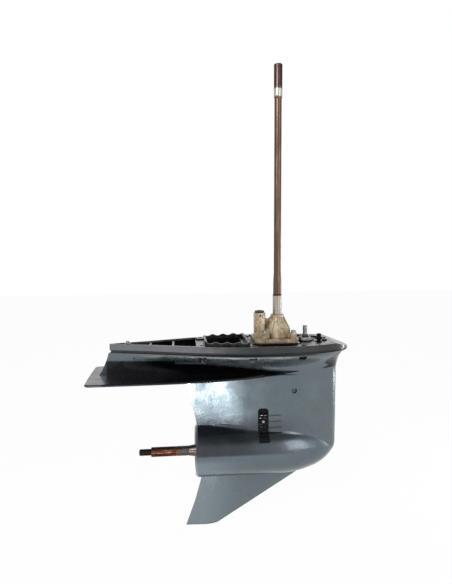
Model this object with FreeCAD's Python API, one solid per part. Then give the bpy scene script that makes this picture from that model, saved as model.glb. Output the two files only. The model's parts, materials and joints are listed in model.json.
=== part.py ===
import FreeCAD, Part
import math
import os
from FreeCAD import Vector

# Outboard lower unit, in millimetres. +X points to the bow, +Y to port, +Z up.
# The origin is on the drive shaft's axis, in the plane of the deck.

# Running fit between a shaft and its bore, and the gap left beside a part that moves
RUN = 0.05
GAP = 0.3
# Overlap given to shapes that are fused, so that they join
JOIN = 0.5

# Propeller shaft line and torpedo
PROP_Z = -276.0
TORPEDO_R = 64.0
TORPEDO_REAR = -207.0
TORPEDO_STRAIGHT_END = 0.0
NOSE_TIP = 149.0
REAR_CHAMFER = 5.0

# Deck: plan of the rim, from visor to tail
DECK_FRONT = 178.0
DECK_REAR = -411.0
DECK_WIDEST_X = -15.0
DECK_HALF = 88.0
TAIL_HALF = 3.0
RIM_DEPTH = 24.0
RIM_GROOVE_TOP = 15.0
RIM_GROOVE_HEIGHT = 5.0
RIM_GROOVE_DEPTH = 3.0
VISOR_START = 133.0
VISOR_DROP = 15.0
DECK_WALL = 7.0
FLOOR_DROP = 3.0
BODY_INSET = 3.5

# Long slot and small hole in the fairing's sides, aft
SIDE_SLOT_REAR = -255.0
SIDE_SLOT_FRONT = -182.0
SIDE_SLOT_TOP = -41.5
SIDE_SLOT_HEIGHT = 5.0
SIDE_SLOT_DEPTH = 4.0
SIDE_HOLE_X = -352.0
SIDE_HOLE_Z = -33.0
SIDE_HOLE_R = 2.0
SIDE_HOLE_DEPTH = 6.0

# Leg: leading edge, trailing edge and thickness
LEG_FRONT = 151.5
LEG_HALF = 36.0
LEG_WIDEST_X = 22.0
LEG_TAIL_HALF = 4.0
LEG_REAR_TOP = -232.0
LEG_REAR_LOW = -202.0
LEG_BLEND_R = 16.0

# Anti-ventilation plate
PLATE_TOP = -76.0
PLATE_THICK = 6.0
PLATE_EDGE = 1.6
PLATE_REAR = -461.0
PLATE_HALF = 89.0
PLATE_CORNER = 12.0
PLATE_NOSE_X = 54.0
PLATE_NOSE_RISE = 8.0

# Skeg
SKEG_ROOT_FRONT = 72.0
SKEG_ROOT_REAR = -193.5
SKEG_TIP_REAR = -232.0
SKEG_TIP_FRONT = -156.0
SKEG_BOTTOM = -470.5
SKEG_ROOT_HALF = 8.0
SKEG_TIP_HALF = 4.0
SKEG_BEVEL = 26.0
SKEG_TOE_R = 26.0

# Deck bolts: a rectangle of four beside the pump and a pair behind
BOLT_FRONT_X = 47.0
BOLT_MID_X = -72.0
BOLT_INSET = 15.0
BOLT_Y = DECK_HALF - BOLT_INSET
BOLT_REAR_X = -190.0
BOLT_REAR_INSET = 38.0
BOLT_REAR_Y = DECK_HALF - BOLT_REAR_INSET
BOLT_HOLE_R = 5.5
BOLT_BOSS_R = 11.5
BOLT_FLANGE = 26.0
NOTCH_R = 10.0
NOTCH_BOTTOM = -32.0
NOTCH_POINT = 15.0

# Housing bores on the drive shaft's axis, from the deck down
SEAL_BORE_R = 32.0
SEAL_BORE_FLOOR = -78.0
OIL_BORE_R = 17.0
NEEDLE_BORE_R = 21.0
NEEDLE_TOP = -186.0
PINION_POCKET_R = 28.0
PINION_POCKET_TOP = -220.0

# Housing bores on the propeller shaft's axis, from the stern forward
CARRIER_BORE_R = 52.0
CARRIER_SEAT_X = -188.0
CHAMBER_R = 48.0
CHAMBER_FRONT = 33.0
CUP_BORE_R = 41.0
CUP_BORE_FRONT = 56.0
SHIFT_CHAMBER_R = 24.5
SHIFT_CHAMBER_FRONT = 92.0

# Shift rod
SHIFT_X = 71.0
SHIFT_R = 5.4
SHIFT_TOP = 35.0
SHIFT_BORE_R = 9.0
SHIFT_ANGLE = 25.0
CLUTCH_TRAVEL = 4.0

# Water inlet and passages
INLET_REAR = -53.0
INLET_FRONT = -27.0
INLET_TOP = -164.0
INLET_BOTTOM = -247.0
INLET_RECESS = 3.0
INLET_CORNER = 8.0
SCREEN_ROWS = 9
SCREEN_PITCH = 7.0
SCREEN_SLOT = 3.4
SCREEN_BORDER = 3.5
SCREEN_BAR = 3.0
SCREEN_FIRST = 12.0
SCREW_ROW = 3
SCREEN_SCREW_R = 1.6
SCREEN_HEAD_R = 3.2
WATER_REAR = -58.0
WATER_FRONT = -38.0
WATER_HALF = 12.0

# Exhaust duct through the leg
DUCT_REAR = -166.0
DUCT_FRONT = -90.0
DUCT_FOOT_FRONT = -112.0
DUCT_WALL = 6.0
POCKET_WALL = 9.0
POCKET_FLOOR = -60.0
RIB_THICK = 5.0

# Drive shaft
SHAFT_TOP = 663.5
SPLINE_END = 609.0
COLLAR_END = 591.0
COLLAR_TAPER_END = 583.0
SHAFT_R = 8.8
SPLINE_R = 10.1
COLLAR_R = 10.4
LOWER_STEP_TOP = 170.0
LOWER_STEP_END = 145.0
LOWER_R = 10.1
CHROME_TOP = 113.5
CHROME_R = 11.1
TAPER_SEAT_R = 13.0
JOURNAL_R = 14.0
PINION_SEAT_R = 10.5
NUT_THREAD_R = 8.0
SPLINE_TEETH = 14
SPLINE_DEPTH = 1.6

# Bevel gears
GEAR_MODULE = 3.2
PINION_TEETH = 14
GEAR_TEETH = 28
GEAR_FACE = 14.0
PRESSURE_ANGLE = 20.0
BACKLASH = 0.34
ADDENDUM = 0.86
DEDENDUM = 1.2

# Propeller shaft
PROP_FRONT = 60.0
PROP_END = -346.0
PROP_THREAD_START = -316.0
PROP_SPLINE_START = -251.0
PROP_R = 12.0
PROP_SPLINE_R = 11.8
PROP_THREAD_R = 7.8
PROP_JOURNAL_R = 15.0
PROP_TAPER_END = -222.0
PROP_SPLINE_TEETH = 15
PROP_SPLINE_DEPTH = 1.8

# Dog clutch
DOGS = 8
DOG_ANGLE = 20.0
DOG_HEIGHT = 5.0
DOG_INNER_R = 15.5
CLUTCH_R = 22.0
CLUTCH_HALF = 13.0
NEUTRAL_GAP = 1.0
CROSS_PIN_R = 3.0
CLUTCH_SPLINES = 8
CLUTCH_SPLINE_HEIGHT = 1.4

# Gear hubs and their bearings
HUB_R = 21.0
FORWARD_HUB_END = 54.0
REVERSE_HUB_END = -52.0
BEARING_START = 33.0
BEARING_END = 53.0
ROLLERS = 14
BALLS = 11
BALL_R = 5.0
BALL_CIRCLE_R = 31.0
BALL_RACE_OUTER_R = 40.0
BALL_RACE_REAR = -50.0
BALL_RACE_FRONT = -34.0

# Bearing carrier
CARRIER_HUB_R = 30.0
CARRIER_RING_R = 45.0
CARRIER_WEBS = 5
CARRIER_FLANGE_REAR = -106.0
CARRIER_FRONT = -33.0
CARRIER_END = -199.0

# Water pump
PUMP_REAR = -62.0
PUMP_FRONT = 44.0
PUMP_HALF = 47.0
PUMP_BOLT_REAR_X = -38.0
PUMP_BOLT_FRONT_X = 33.0
PUMP_BOLT_Y = 37.0
PUMP_BOLT_R = 3.0
PUMP_BOLT_FOOT = -14.0
GASKET_THICK = 1.0
WEAR_PLATE_THICK = 1.2
PUMP_FLANGE_TOP = 9.0
PUMP_DRUM_R = 31.0
PUMP_DRUM_TOP = 31.0
PUMP_SHOULDER_TOP = 50.0
PUMP_NECK_R = 14.5
PUMP_NECK_TOP = 65.0
PUMP_WALL = 3.5
PUMP_BOSS_R = 7.5
PUMP_BOSS_TOP = 25.0
TUBE_BLOCK_REAR = -58.0
TUBE_BLOCK_FRONT = -31.0
TUBE_BLOCK_HALF = 13.0
TUBE_BLOCK_TOP = 70.0
TUBE_R = 6.5
CUP_INNER_R = 26.0
CUP_THICK = 1.0
CUP_HEIGHT = 22.0
CUP_OFFSET = 1.5
IMPELLER_HUB_R = 15.0
IMPELLER_BLADES = 6

# Oil plugs, dowels, hose fitting, trim tab screw
LEVEL_PLUG_X = 36.5
LEVEL_PLUG_Z = -121.0
DRAIN_PLUG_X = 96.0
DRAIN_PLUG_Z = -287.0
PLUG_HEAD_R = 6.5
PLUG_THREAD_R = 5.0
DOWEL_R = 4.0
DOWEL_FRONT_X = 123.0
DOWEL_REAR_X = -368.0
HOSE_FITTING_X = 107.0
TRIM_SCREW_X = -380.0
TRIM_SCREW_R = 4.25
TRIM_SCREW_DEPTH = 18.0
TRIM_BOSS_R = 17.0
TRIM_BOSS_DROP = 8.0

# Streamlined sections: share of the length that is nose, and stations along nose and side
FOIL_NOSE_SHARE = 0.3
FRONT_STATIONS = (1.0, 0.86, 0.62, 0.38, 0.19, 0.06)
REAR_STATIONS = (0.0, 0.25, 0.5, 0.75, 1.0)

# Seats of the oil plugs and of the trim tab
PLUG_SINK = 10.0
LEVEL_SEAT_Y = -(LEG_HALF - PLUG_SINK)
DRAIN_SEAT_Y = 36.0
TRIM_BOSS_Z = PLATE_TOP - PLATE_THICK - TRIM_BOSS_DROP

# Seats along the drive shaft
TAPER_TOP = -54.0
TAPER_FOOT = -75.0
KEY_LOW = 7.0
KEY_HIGH = 21.0
KEY_SEAT = 2.0
KEY_RISE = 2.2
KEY_WIDTH = 5.0
PINION_HUB_TOP = -224.0
PINION_SHOULDER = -222.5
SEAL_CARRIER_FOOT = -28.0
RING_NUT_TOP = -42.0
RING_NUT_FOOT = -51.0
SHAFT_SEAL_R = 18.0
ORING_HALF = 1.2

# Needles and rollers; each stands in flat-sided for a round one
NEEDLE_R = 2.0
NEEDLES = 20
PROP_NEEDLE_R = 1.2
PROP_NEEDLE_REAR = -178.0
PROP_NEEDLE_FRONT = -150.0
ROLLER_GAP = 0.05
ROLLER_FLATS = 12
NEEDLE_FLATS = 8
NEEDLE_OUTER_R = 15.0

# Dogs, slider and crank
DOG_TIP = CLUTCH_HALF + NEUTRAL_GAP
DOG_FACE = DOG_TIP + DOG_HEIGHT
THRUST_SHOULDER = -57.0
SLIDER_REAR = -12.0
SLIDER_R = 5.0
SPOOL_R = 13.0
CRANK_PIN_R = 2.5
CRANK_OFFSET = 9.5
SPOOL_CLEAR = 0.15
CLUTCH_BAND = 8.0
CLUTCH_GROOVE = 1.8

# Stack under the pump, socket of the water tube, shift rod retainer
WEAR_BOTTOM = GASKET_THICK
PUMP_BOTTOM = GASKET_THICK + WEAR_PLATE_THICK
TUBE_X = (TUBE_BLOCK_REAR + TUBE_BLOCK_FRONT) / 2
SOCKET_DEPTH = 22.0
SOCKET_R = TUBE_R + 2.5
RETAINER_HEIGHT = 6.0

parts = {}


def add(name, *solids):
    """Keep the solids of one named piece."""
    parts[name] = solids[0] if len(solids) == 1 else Part.makeCompound(list(solids))


def on_z(along, radius):
    """A point beside the drive shaft's axis."""
    return Vector(radius, 0, along)


def on_x(along, radius):
    """A point beside the propeller shaft's axis."""
    return Vector(along, 0, PROP_Z + radius)


def turned(profile, place, x=0.0, y=0.0):
    """A solid of revolution; the profile is a list of (along the axis, radius)."""
    points = [place(along, radius) for along, radius in profile]
    face = Part.Face(Part.makePolygon(points + points[:1]))
    if place is on_x:
        return face.revolve(Vector(0, 0, PROP_Z), Vector(1, 0, 0), 360)
    solid = face.revolve(Vector(0, 0, 0), Vector(0, 0, 1), 360)
    return solid.translated(Vector(x, y, 0))


def rod(place, start, end, radius, x=0.0, y=0.0):
    """A plain round bar between two stations of an axis."""
    low, high = min(start, end), max(start, end)
    if place is on_x:
        return Part.makeCylinder(radius, high - low, Vector(low, 0, PROP_Z), Vector(1, 0, 0))
    return Part.makeCylinder(radius, high - low, Vector(x, y, low))


def tube(place, start, end, inner, outer, x=0.0, y=0.0):
    """A plain ring or bush."""
    low, high = min(start, end), max(start, end)
    return turned([(low, inner), (high, inner), (high, outer), (low, outer)], place, x, y)


def block(x0, x1, y0, y1, z0, z1):
    """A box between its low and high faces."""
    return Part.makeBox(x1 - x0, y1 - y0, z1 - z0, Vector(x0, y0, z0))


def mirrored(shape):
    """The same shape on the other side of the boat's centre plane."""
    return shape.mirror(Vector(0, 0, 0), Vector(0, 1, 0))


def spun(shape, count, place, first=0.0):
    """Copies of a shape, evenly spaced about the chosen shaft's axis."""
    centre = Vector(0, 0, PROP_Z) if place is on_x else Vector(0, 0, 0)
    axis = Vector(1, 0, 0) if place is on_x else Vector(0, 0, 1)
    copies = []
    for i in range(count):
        copy = shape.copy()
        copy.rotate(centre, axis, first + 360.0 * i / count)
        copies.append(copy)
    return copies


def splined(shaft, place, start, end, radius, teeth, depth):
    """Cut spline grooves along a stretch of a shaft, leaving equal teeth."""
    width = math.pi * radius / teeth
    low, high = min(start, end), max(start, end)
    if place is on_x:
        groove = block(low, high, -width / 2, width / 2, PROP_Z + radius - depth, PROP_Z + radius + JOIN)
    else:
        groove = block(radius - depth, radius + JOIN, -width / 2, width / 2, low, high)
    return shaft.cut(Part.makeCompound(spun(groove, teeth, place)))


def hexagon(place, start, end, across_flats, x=0.0, y=0.0):
    """A six-sided head or nut."""
    low, high = min(start, end), max(start, end)
    corner = across_flats / math.sqrt(3)
    angles = [math.radians(60 * i) for i in range(7)]
    if place is on_x:
        points = [Vector(low, corner * math.cos(a), PROP_Z + corner * math.sin(a)) for a in angles]
        return Part.Face(Part.makePolygon(points)).extrude(Vector(high - low, 0, 0))
    points = [Vector(x + corner * math.cos(a), y + corner * math.sin(a), low) for a in angles]
    return Part.Face(Part.makePolygon(points)).extrude(Vector(0, 0, high - low))


# Gearcase outlines


def foil(share):
    """Half thickness of a streamlined section at a share of its length, with a peak near 1."""
    terms = 0.2969 * math.sqrt(share) - 0.126 * share - 0.3516 * share ** 2
    return (terms + 0.2843 * share ** 3 - 0.1015 * share ** 4) / 0.1000


def section(z, front, middle, rear, half, tail):
    """Streamlined plan outline at one height: round nose, long sides, narrow flat tail."""
    nose = []
    for t in FRONT_STATIONS:
        nose.append((front - (front - middle) * t, half * foil(FOIL_NOSE_SHARE * t)))
    side = []
    for t in REAR_STATIONS:
        share = FOIL_NOSE_SHARE + (1 - FOIL_NOSE_SHARE) * t
        side.append((middle - (middle - rear) * t, half * foil(share) * (1 - t ** 6) + tail * t ** 6))
    starboard_nose = [Vector(x, -y, z) for x, y in nose]
    port_nose = [Vector(x, y, z) for x, y in reversed(nose)]
    forward, aft = Vector(1, 0, 0), Vector(-1, 0, 0)
    front_curve = Part.BSplineCurve()
    front_curve.interpolate(Points=starboard_nose + [Vector(front, 0, z)] + port_nose,
                            InitialTangent=forward, FinalTangent=aft)
    end_slope = Vector(side[-1][0] - side[-2][0], side[-1][1] - side[-2][1], 0).normalize()
    port_curve = Part.BSplineCurve()
    port_curve.interpolate(Points=[Vector(x, y, z) for x, y in side],
                           InitialTangent=aft, FinalTangent=end_slope)
    starboard_curve = Part.BSplineCurve()
    starboard_curve.interpolate(Points=[Vector(x, -y, z) for x, y in reversed(side)],
                                InitialTangent=Vector(-end_slope.x, end_slope.y, 0), FinalTangent=forward)
    tail_line = Part.LineSegment(Vector(rear, tail, z), Vector(rear, -tail, z))
    edges = [front_curve.toShape(), port_curve.toShape(), tail_line.toShape(), starboard_curve.toShape()]
    return Part.Wire(edges)


def side_half(row, tail, x):
    """Half thickness of a section of the outside at a place behind its widest point."""
    front, middle, rear, half = row[1:]
    t = (middle - x) / (middle - rear)
    share = FOIL_NOSE_SHARE + (1 - FOIL_NOSE_SHARE) * t
    return half * foil(share) * (1 - t ** 6) + tail * t ** 6


def lofted(sections):
    """A smooth solid through plan sections, from the top down."""
    return Part.makeLoft(sections, True, False)


def slab(wire, depth):
    """A plan outline given a depth downwards."""
    return Part.Face(wire).extrude(Vector(0, 0, -depth))


def rim_plan(z, inset):
    """Plan of the deck's rim, moved inwards by an inset."""
    return section(z, DECK_FRONT - inset, DECK_WIDEST_X, DECK_REAR + inset, DECK_HALF - inset, TAIL_HALF)


# Widths of the fairing under the rim, and of the leg, at stations going down.
# Each is (height, front, widest place, rear, half width).
FAIRING = (
    (-RIM_DEPTH + 2, DECK_FRONT - 8.0, DECK_WIDEST_X, DECK_REAR - 3.0, DECK_HALF - BODY_INSET),
    (-33.0, 162.0, -10.0, DECK_REAR - 6.0, 77.0),
    (-44.0, 156.8, -4.0, DECK_REAR - 10.0, 63.0),
    (-60.0, 152.8, 8.0, DECK_REAR - 17.0, 48.0),
    (PLATE_TOP - PLATE_THICK / 2, LEG_FRONT, LEG_WIDEST_X, DECK_REAR - 29.0, LEG_HALF + 3.0),
)
LEG = (
    (PLATE_TOP - PLATE_THICK / 2, LEG_FRONT, LEG_WIDEST_X, LEG_REAR_TOP - 10, LEG_HALF + 3.0),
    (-94.0, LEG_FRONT, LEG_WIDEST_X + 2, LEG_REAR_TOP, LEG_HALF + 0.8),
    (-120.0, LEG_FRONT, LEG_WIDEST_X + 3, LEG_REAR_TOP + 8, LEG_HALF),
    (-165.0, LEG_FRONT, LEG_WIDEST_X + 3, (LEG_REAR_TOP + LEG_REAR_LOW) / 2 + 5, LEG_HALF),
    (-215.0, LEG_FRONT, LEG_WIDEST_X + 3, LEG_REAR_LOW, LEG_HALF + 1.5),
    (-250.0, LEG_FRONT - 0.3, LEG_WIDEST_X + 3, LEG_REAR_LOW + 4, LEG_HALF + 4.0),
    (-274.0, LEG_FRONT - 1.2, LEG_WIDEST_X + 3, LEG_REAR_LOW + 6, LEG_HALF + 2.0),
    (-286.0, LEG_FRONT - 7.0, LEG_WIDEST_X + 3, LEG_REAR_LOW + 8, LEG_HALF - 6.0),
)


def fairing_solid():
    """Body between the rim and the anti-ventilation plate, drawn in towards the leg."""
    return lofted([section(z, front, middle, rear, half, TAIL_HALF) for z, front, middle, rear, half in FAIRING])


def leg_solid():
    """Strut between the plate and the torpedo."""
    return lofted([section(z, front, middle, rear, half, LEG_TAIL_HALF) for z, front, middle, rear, half in LEG])


def rim_solid():
    """Rim band with a groove and a lower lip; its front slopes down as a visor."""
    lip_top = RIM_GROOVE_TOP + RIM_GROOVE_HEIGHT
    upper = slab(rim_plan(0, 0), RIM_GROOVE_TOP + JOIN)
    groove = slab(rim_plan(-RIM_GROOVE_TOP, RIM_GROOVE_DEPTH), RIM_GROOVE_HEIGHT + JOIN)
    lip = lofted([rim_plan(-lip_top, 0), rim_plan(-RIM_DEPTH, BODY_INSET + 1)])
    band = upper.fuse([groove, lip])
    slope = math.degrees(math.atan2(VISOR_DROP, DECK_FRONT - VISOR_START))
    over = block(VISOR_START, DECK_FRONT + 40, -DECK_HALF, DECK_HALF, 0, 60)
    over.rotate(Vector(VISOR_START, 0, 0), Vector(0, 1, 0), slope)
    return band.cut(over)


def nose_radius(x):
    """Radius of the torpedo at a place along it."""
    share = max(0.0, (x - TORPEDO_STRAIGHT_END) / (NOSE_TIP - TORPEDO_STRAIGHT_END))
    return TORPEDO_R * (1 - share ** 2) ** 0.65


def leg_blends():
    """Concave fillets between the leg's sides and the torpedo, fading out at both ends."""
    row = LEG[4]
    wires = []
    for x, share in ((-196.0, 0.5), (-150.0, 0.85), (-90.0, 1.0), (-20.0, 1.0), (45.0, 1.0), (85.0, 0.7), (112.0, 0.25)):
        blend_r = LEG_BLEND_R * share
        wall = side_half(row, LEG_TAIL_HALF, x)
        torpedo = nose_radius(x)
        height = math.sqrt((torpedo + blend_r) ** 2 - (wall + blend_r) ** 2)
        high = Vector(x, wall, PROP_Z + height)
        low = Vector(x, (wall + blend_r) * torpedo / (torpedo + blend_r), PROP_Z + height * torpedo / (torpedo + blend_r))
        turn = math.atan2(height, wall + blend_r) / 2
        centre = Vector(x, wall + blend_r, PROP_Z + height)
        middle = centre - Vector(0, math.cos(turn), math.sin(turn)) * blend_r
        inner_high, inner_low = high + Vector(0, -6, 0), low + Vector(0, -6, -6)
        edges = [Part.Arc(high, middle, low).toShape(), Part.LineSegment(low, inner_low).toShape(),
                 Part.LineSegment(inner_low, inner_high).toShape(), Part.LineSegment(inner_high, high).toShape()]
        wires.append(Part.Wire(edges))
    port = Part.makeLoft(wires, True, False)
    return [port, mirrored(port)]


def torpedo_solid():
    """Torpedo: straight body with a chamfered stern, and a nose that fades into the leading edge."""
    length = NOSE_TIP - TORPEDO_STRAIGHT_END

    def meridian(share):
        x = TORPEDO_STRAIGHT_END + length * share
        return Vector(x, 0, PROP_Z + nose_radius(x))

    shoulder = Part.Arc(meridian(0), meridian(0.27), meridian(0.54))
    tip = Part.Arc(meridian(0.54), meridian(0.8), meridian(0.985))
    axis_rear = Vector(TORPEDO_REAR, 0, PROP_Z)
    axis_front = Vector(meridian(0.985).x, 0, PROP_Z)
    edge_low = Vector(TORPEDO_REAR, 0, PROP_Z + TORPEDO_R - REAR_CHAMFER)
    edge_high = Vector(TORPEDO_REAR + REAR_CHAMFER, 0, PROP_Z + TORPEDO_R)
    points = [meridian(0.985), axis_front, axis_rear, edge_low, edge_high, meridian(0)]
    lines = [Part.LineSegment(a, b).toShape() for a, b in zip(points, points[1:])]
    face = Part.Face(Part.Wire([shoulder.toShape(), tip.toShape()] + lines))
    return face.revolve(Vector(0, 0, PROP_Z), Vector(1, 0, 0), 360)


def plate_plan(z, inset):
    """Plan of the anti-ventilation plate, moved inwards by an inset."""
    side = ((-409.0, 1.0), (-300.0, 0.985), (-197.0, 0.92), (-114.0, 0.79), (-40.0, 0.56))
    rear, half, corner = PLATE_REAR + inset, PLATE_HALF - inset, PLATE_CORNER
    port = [Vector(rear + corner, half, z)] + [Vector(x, PLATE_HALF * share - inset, z) for x, share in side]
    starboard = [Vector(p.x, -p.y, z) for p in reversed(port)]
    port_curve = Part.BSplineCurve()
    port_curve.interpolate(port)
    starboard_curve = Part.BSplineCurve()
    starboard_curve.interpolate(starboard)
    bend = corner * (1 - math.sqrt(0.5))
    port_stern, starboard_stern = Vector(rear + 1, half - corner, z), Vector(rear + 1, corner - half, z)
    edges = [
        Part.Arc(port_stern, Vector(rear + bend, half - bend, z), port[0]).toShape(),
        port_curve.toShape(),
        Part.LineSegment(port[-1], starboard[0]).toShape(),
        starboard_curve.toShape(),
        Part.Arc(starboard[-1], Vector(rear + bend, bend - half, z), starboard_stern).toShape(),
        Part.Arc(starboard_stern, Vector(rear, 0, z), port_stern).toShape(),
    ]
    return Part.Wire(edges)


def plate_solid():
    """Anti-ventilation plate with thinned edges; its nose rises and fades into the leg."""
    low, high = PLATE_TOP - PLATE_THICK, PLATE_TOP
    lower = Part.makeLoft([plate_plan(low, PLATE_EDGE), plate_plan(low + PLATE_EDGE, 0)], True, True)
    upper = Part.makeLoft([plate_plan(high - PLATE_EDGE, 0), plate_plan(high, PLATE_EDGE)], True, True)
    middle = slab(plate_plan(high - PLATE_EDGE, 0), PLATE_THICK - 2 * PLATE_EDGE)
    flat = middle.fuse([lower, upper])
    strake = []
    for x, y, share in ((-60.0, 0.63 * PLATE_HALF, 0.0), (-12.0, 0.56 * PLATE_HALF, 0.2),
                        (26.0, 0.52 * PLATE_HALF, 0.6), (PLATE_NOSE_X, LEG_HALF + 4.5, 1.0)):
        low, high = PLATE_TOP - PLATE_THICK + share * PLATE_NOSE_RISE, PLATE_TOP + share * PLATE_NOSE_RISE
        inner = y - 26.0
        corners = [Vector(x, inner, low - 2), Vector(x, y, low + 2),
                   Vector(x, y, high - 2), Vector(x, inner, high + 4)]
        strake.append(Part.makePolygon(corners + corners[:1]))
    port_strake = Part.makeLoft(strake, True, False)
    return flat.fuse([port_strake, mirrored(port_strake)])


def skeg_solid():
    """Thin fin under the torpedo with a bevelled leading edge and a rounded toe."""
    top = PROP_Z - TORPEDO_R + 12
    below = SKEG_BOTTOM - 8
    root_z = PROP_Z - TORPEDO_R + 10
    front_slope = (SKEG_ROOT_FRONT - SKEG_TIP_FRONT) / (root_z - SKEG_BOTTOM)
    rear_slope = (SKEG_ROOT_REAR - SKEG_TIP_REAR) / (root_z - SKEG_BOTTOM)

    def fin(z, half):
        front = SKEG_TIP_FRONT + front_slope * (z - SKEG_BOTTOM)
        rear = SKEG_TIP_REAR + rear_slope * (z - SKEG_BOTTOM) - 6
        points = [(front, -0.8), (front - SKEG_BEVEL, -half), (rear + 2 * SKEG_BEVEL, -half), (rear, -1.0),
                  (rear, 1.0), (rear + 2 * SKEG_BEVEL, half), (front - SKEG_BEVEL, half), (front, 0.8)]
        return Part.makePolygon([Vector(x, y, z) for x, y in points + points[:1]])

    blade = Part.makeLoft([fin(top, SKEG_ROOT_HALF), fin(below, SKEG_TIP_HALF)], True, True)
    ahead = SKEG_ROOT_FRONT + 40
    outline = [Vector(ahead, 0, top - 4), Vector(SKEG_ROOT_REAR, 0, top - 4),
               Vector(SKEG_ROOT_REAR, 0, root_z - 22), Vector(SKEG_ROOT_REAR - 16, 0, root_z - 79),
               Vector(SKEG_TIP_REAR, 0, SKEG_BOTTOM), Vector(SKEG_TIP_FRONT - 13, 0, SKEG_BOTTOM)]
    toe = Vector(SKEG_TIP_FRONT + SKEG_TOE_R + 6, 0, SKEG_BOTTOM + 15.5)
    toe_middle = Vector(SKEG_TIP_FRONT + 11, 0, SKEG_BOTTOM + 4.5)
    edges = [Part.LineSegment(a, b).toShape() for a, b in zip(outline, outline[1:])]
    edges.append(Part.Arc(outline[-1], toe_middle, toe).toShape())
    edges.append(Part.LineSegment(toe, outline[0]).toShape())
    profile = Part.Face(Part.Wire(edges)).extrude(Vector(0, 4 * SKEG_ROOT_HALF, 0))
    profile.translate(Vector(0, -2 * SKEG_ROOT_HALF, 0))
    return blade.common(profile)


def pocket(rear, front, wall, floor):
    """A hollow in the deck that keeps an even wall to the outside."""
    top = FAIRING[0]
    rows = [(5.0,) + top[1:], top] + [row for row in FAIRING[1:] if row[0] > floor + 1] + [(floor,) + FAIRING[3][1:]]
    inner = lofted([section(z, x0 - wall, mid, x1 + 2 * wall, half - wall, TAIL_HALF)
                    for z, x0, mid, x1, half in rows])
    return inner.common(block(rear, front, -DECK_HALF, DECK_HALF, floor - 1, 6))


def duct_solid():
    """Exhaust duct from the deck down through the leg into the torpedo."""
    frames = ((-58.0, DUCT_FRONT, LEG[1]), (-120.0, DUCT_FRONT, LEG[2]), (-200.0, DUCT_FOOT_FRONT, LEG[3]),
              (PROP_Z + CHAMBER_R - 8, DUCT_FOOT_FRONT, LEG[3]))
    wires = []
    for z, front, row in frames:
        wide = side_half(row, LEG_TAIL_HALF, front) - DUCT_WALL
        narrow = side_half(row, LEG_TAIL_HALF, DUCT_REAR) - DUCT_WALL
        corners = [Vector(front, -wide, z), Vector(front, wide, z), Vector(DUCT_REAR, narrow, z),
                   Vector(DUCT_REAR, -narrow, z)]
        wires.append(Part.makePolygon(corners + corners[:1]))
    return Part.makeLoft(wires, True, True)


def skin_patch(x0, x1, z0, z1, depth):
    """The outer layer of the leg and torpedo within a window, on both sides."""
    outer = leg_solid().fuse([torpedo_solid()] + leg_blends())
    inner_leg = lofted([section(z, front, mid, rear, half - depth, LEG_TAIL_HALF)
                        for z, front, mid, rear, half in LEG])
    inner = inner_leg.fuse(rod(on_x, TORPEDO_REAR - 1, NOSE_TIP, TORPEDO_R - depth))
    window = block(x0, x1, -DECK_HALF, DECK_HALF, z0, z1)
    upper = [e for e in window.Edges if e.BoundBox.YLength > DECK_HALF and e.BoundBox.ZMin > z1 - 1]
    return outer.common(window.makeFillet(INLET_CORNER, upper)).cut(inner)


def deck_bolt_places():
    """Centres of the six deck bolt holes."""
    places = []
    for side in (1, -1):
        places += [(BOLT_FRONT_X, side * BOLT_Y), (BOLT_MID_X, side * BOLT_Y), (BOLT_REAR_X, side * BOLT_REAR_Y)]
    return places


def rounded_plan(x0, x1, half, corner, z, height):
    """A flat plate with round corners."""
    plate = block(x0, x1, -half, half, z, z + height)
    upright = [e for e in plate.Edges if e.BoundBox.ZLength > height / 2]
    return plate.makeFillet(corner, upright)


def deck_cuts():
    """Everything that opens in the deck: sunken floor, pockets, holes and notches."""
    keep = [rod(on_z, -40, 0, BOLT_BOSS_R, x, y) for x, y in deck_bolt_places()]
    keep.append(rounded_plan(PUMP_REAR - 5, PUMP_FRONT + 5, PUMP_HALF + 4, 12, -40, 40))
    keep.append(rod(on_z, -40, 0, SHIFT_BORE_R + 9, SHIFT_X))
    keep.append(rod(on_z, -40, 0, DOWEL_R + 4, DOWEL_FRONT_X))
    keep.append(rod(on_z, -40, 0, DOWEL_R + 4, DOWEL_REAR_X))
    floor_plan = section(1, VISOR_START - DECK_WALL, DECK_WIDEST_X, DECK_REAR + DECK_WALL + 4,
                         DECK_HALF - DECK_WALL, TAIL_HALF)
    cuts = [slab(floor_plan, 1 + FLOOR_DROP).cut(Part.makeCompound(keep[:1]).fuse(keep[1:]))]
    rib = RIB_THICK / 2
    for rear, front in ((-356.0, -313.0 - rib), (-313.0 + rib, -258.0 - rib), (-258.0 + rib, -203.0)):
        cuts.append(pocket(rear, front, POCKET_WALL, POCKET_FLOOR))
    cuts.append(pocket(DUCT_REAR - 10, DUCT_FRONT, POCKET_WALL + 12, POCKET_FLOOR))
    cuts.append(duct_solid())
    for side in (1, -1):
        drain = rounded_plan(-52, 30, 5.5, 5.4, -26, 30).translated(Vector(0, side * 60, 0))
        cuts.append(drain)
    lobe = rounded_plan(90, 112, 20, 8, -20, 30).cut(rod(on_z, -30, 10, 11, HOSE_FITTING_X))
    cuts.append(lobe.translated(Vector(-4, 0, 0)).cut(rod(on_z, -30, 10, SHIFT_BORE_R + 9, SHIFT_X)))
    for x, y in deck_bolt_places():
        cuts.append(rod(on_z, -BOLT_FLANGE - 1, 1, BOLT_HOLE_R, x, y))
        notch = rod(on_z, NOTCH_BOTTOM, -BOLT_FLANGE, NOTCH_R, x, y)
        point = Part.makeCone(0.5, NOTCH_R, NOTCH_POINT, Vector(x, y, NOTCH_BOTTOM - NOTCH_POINT))
        side = 1 if y > 0 else -1
        way_out = notch.fuse(point)
        cuts.append(way_out.fuse(way_out.translated(Vector(0, side * NOTCH_R, 0))))
    return cuts


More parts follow.
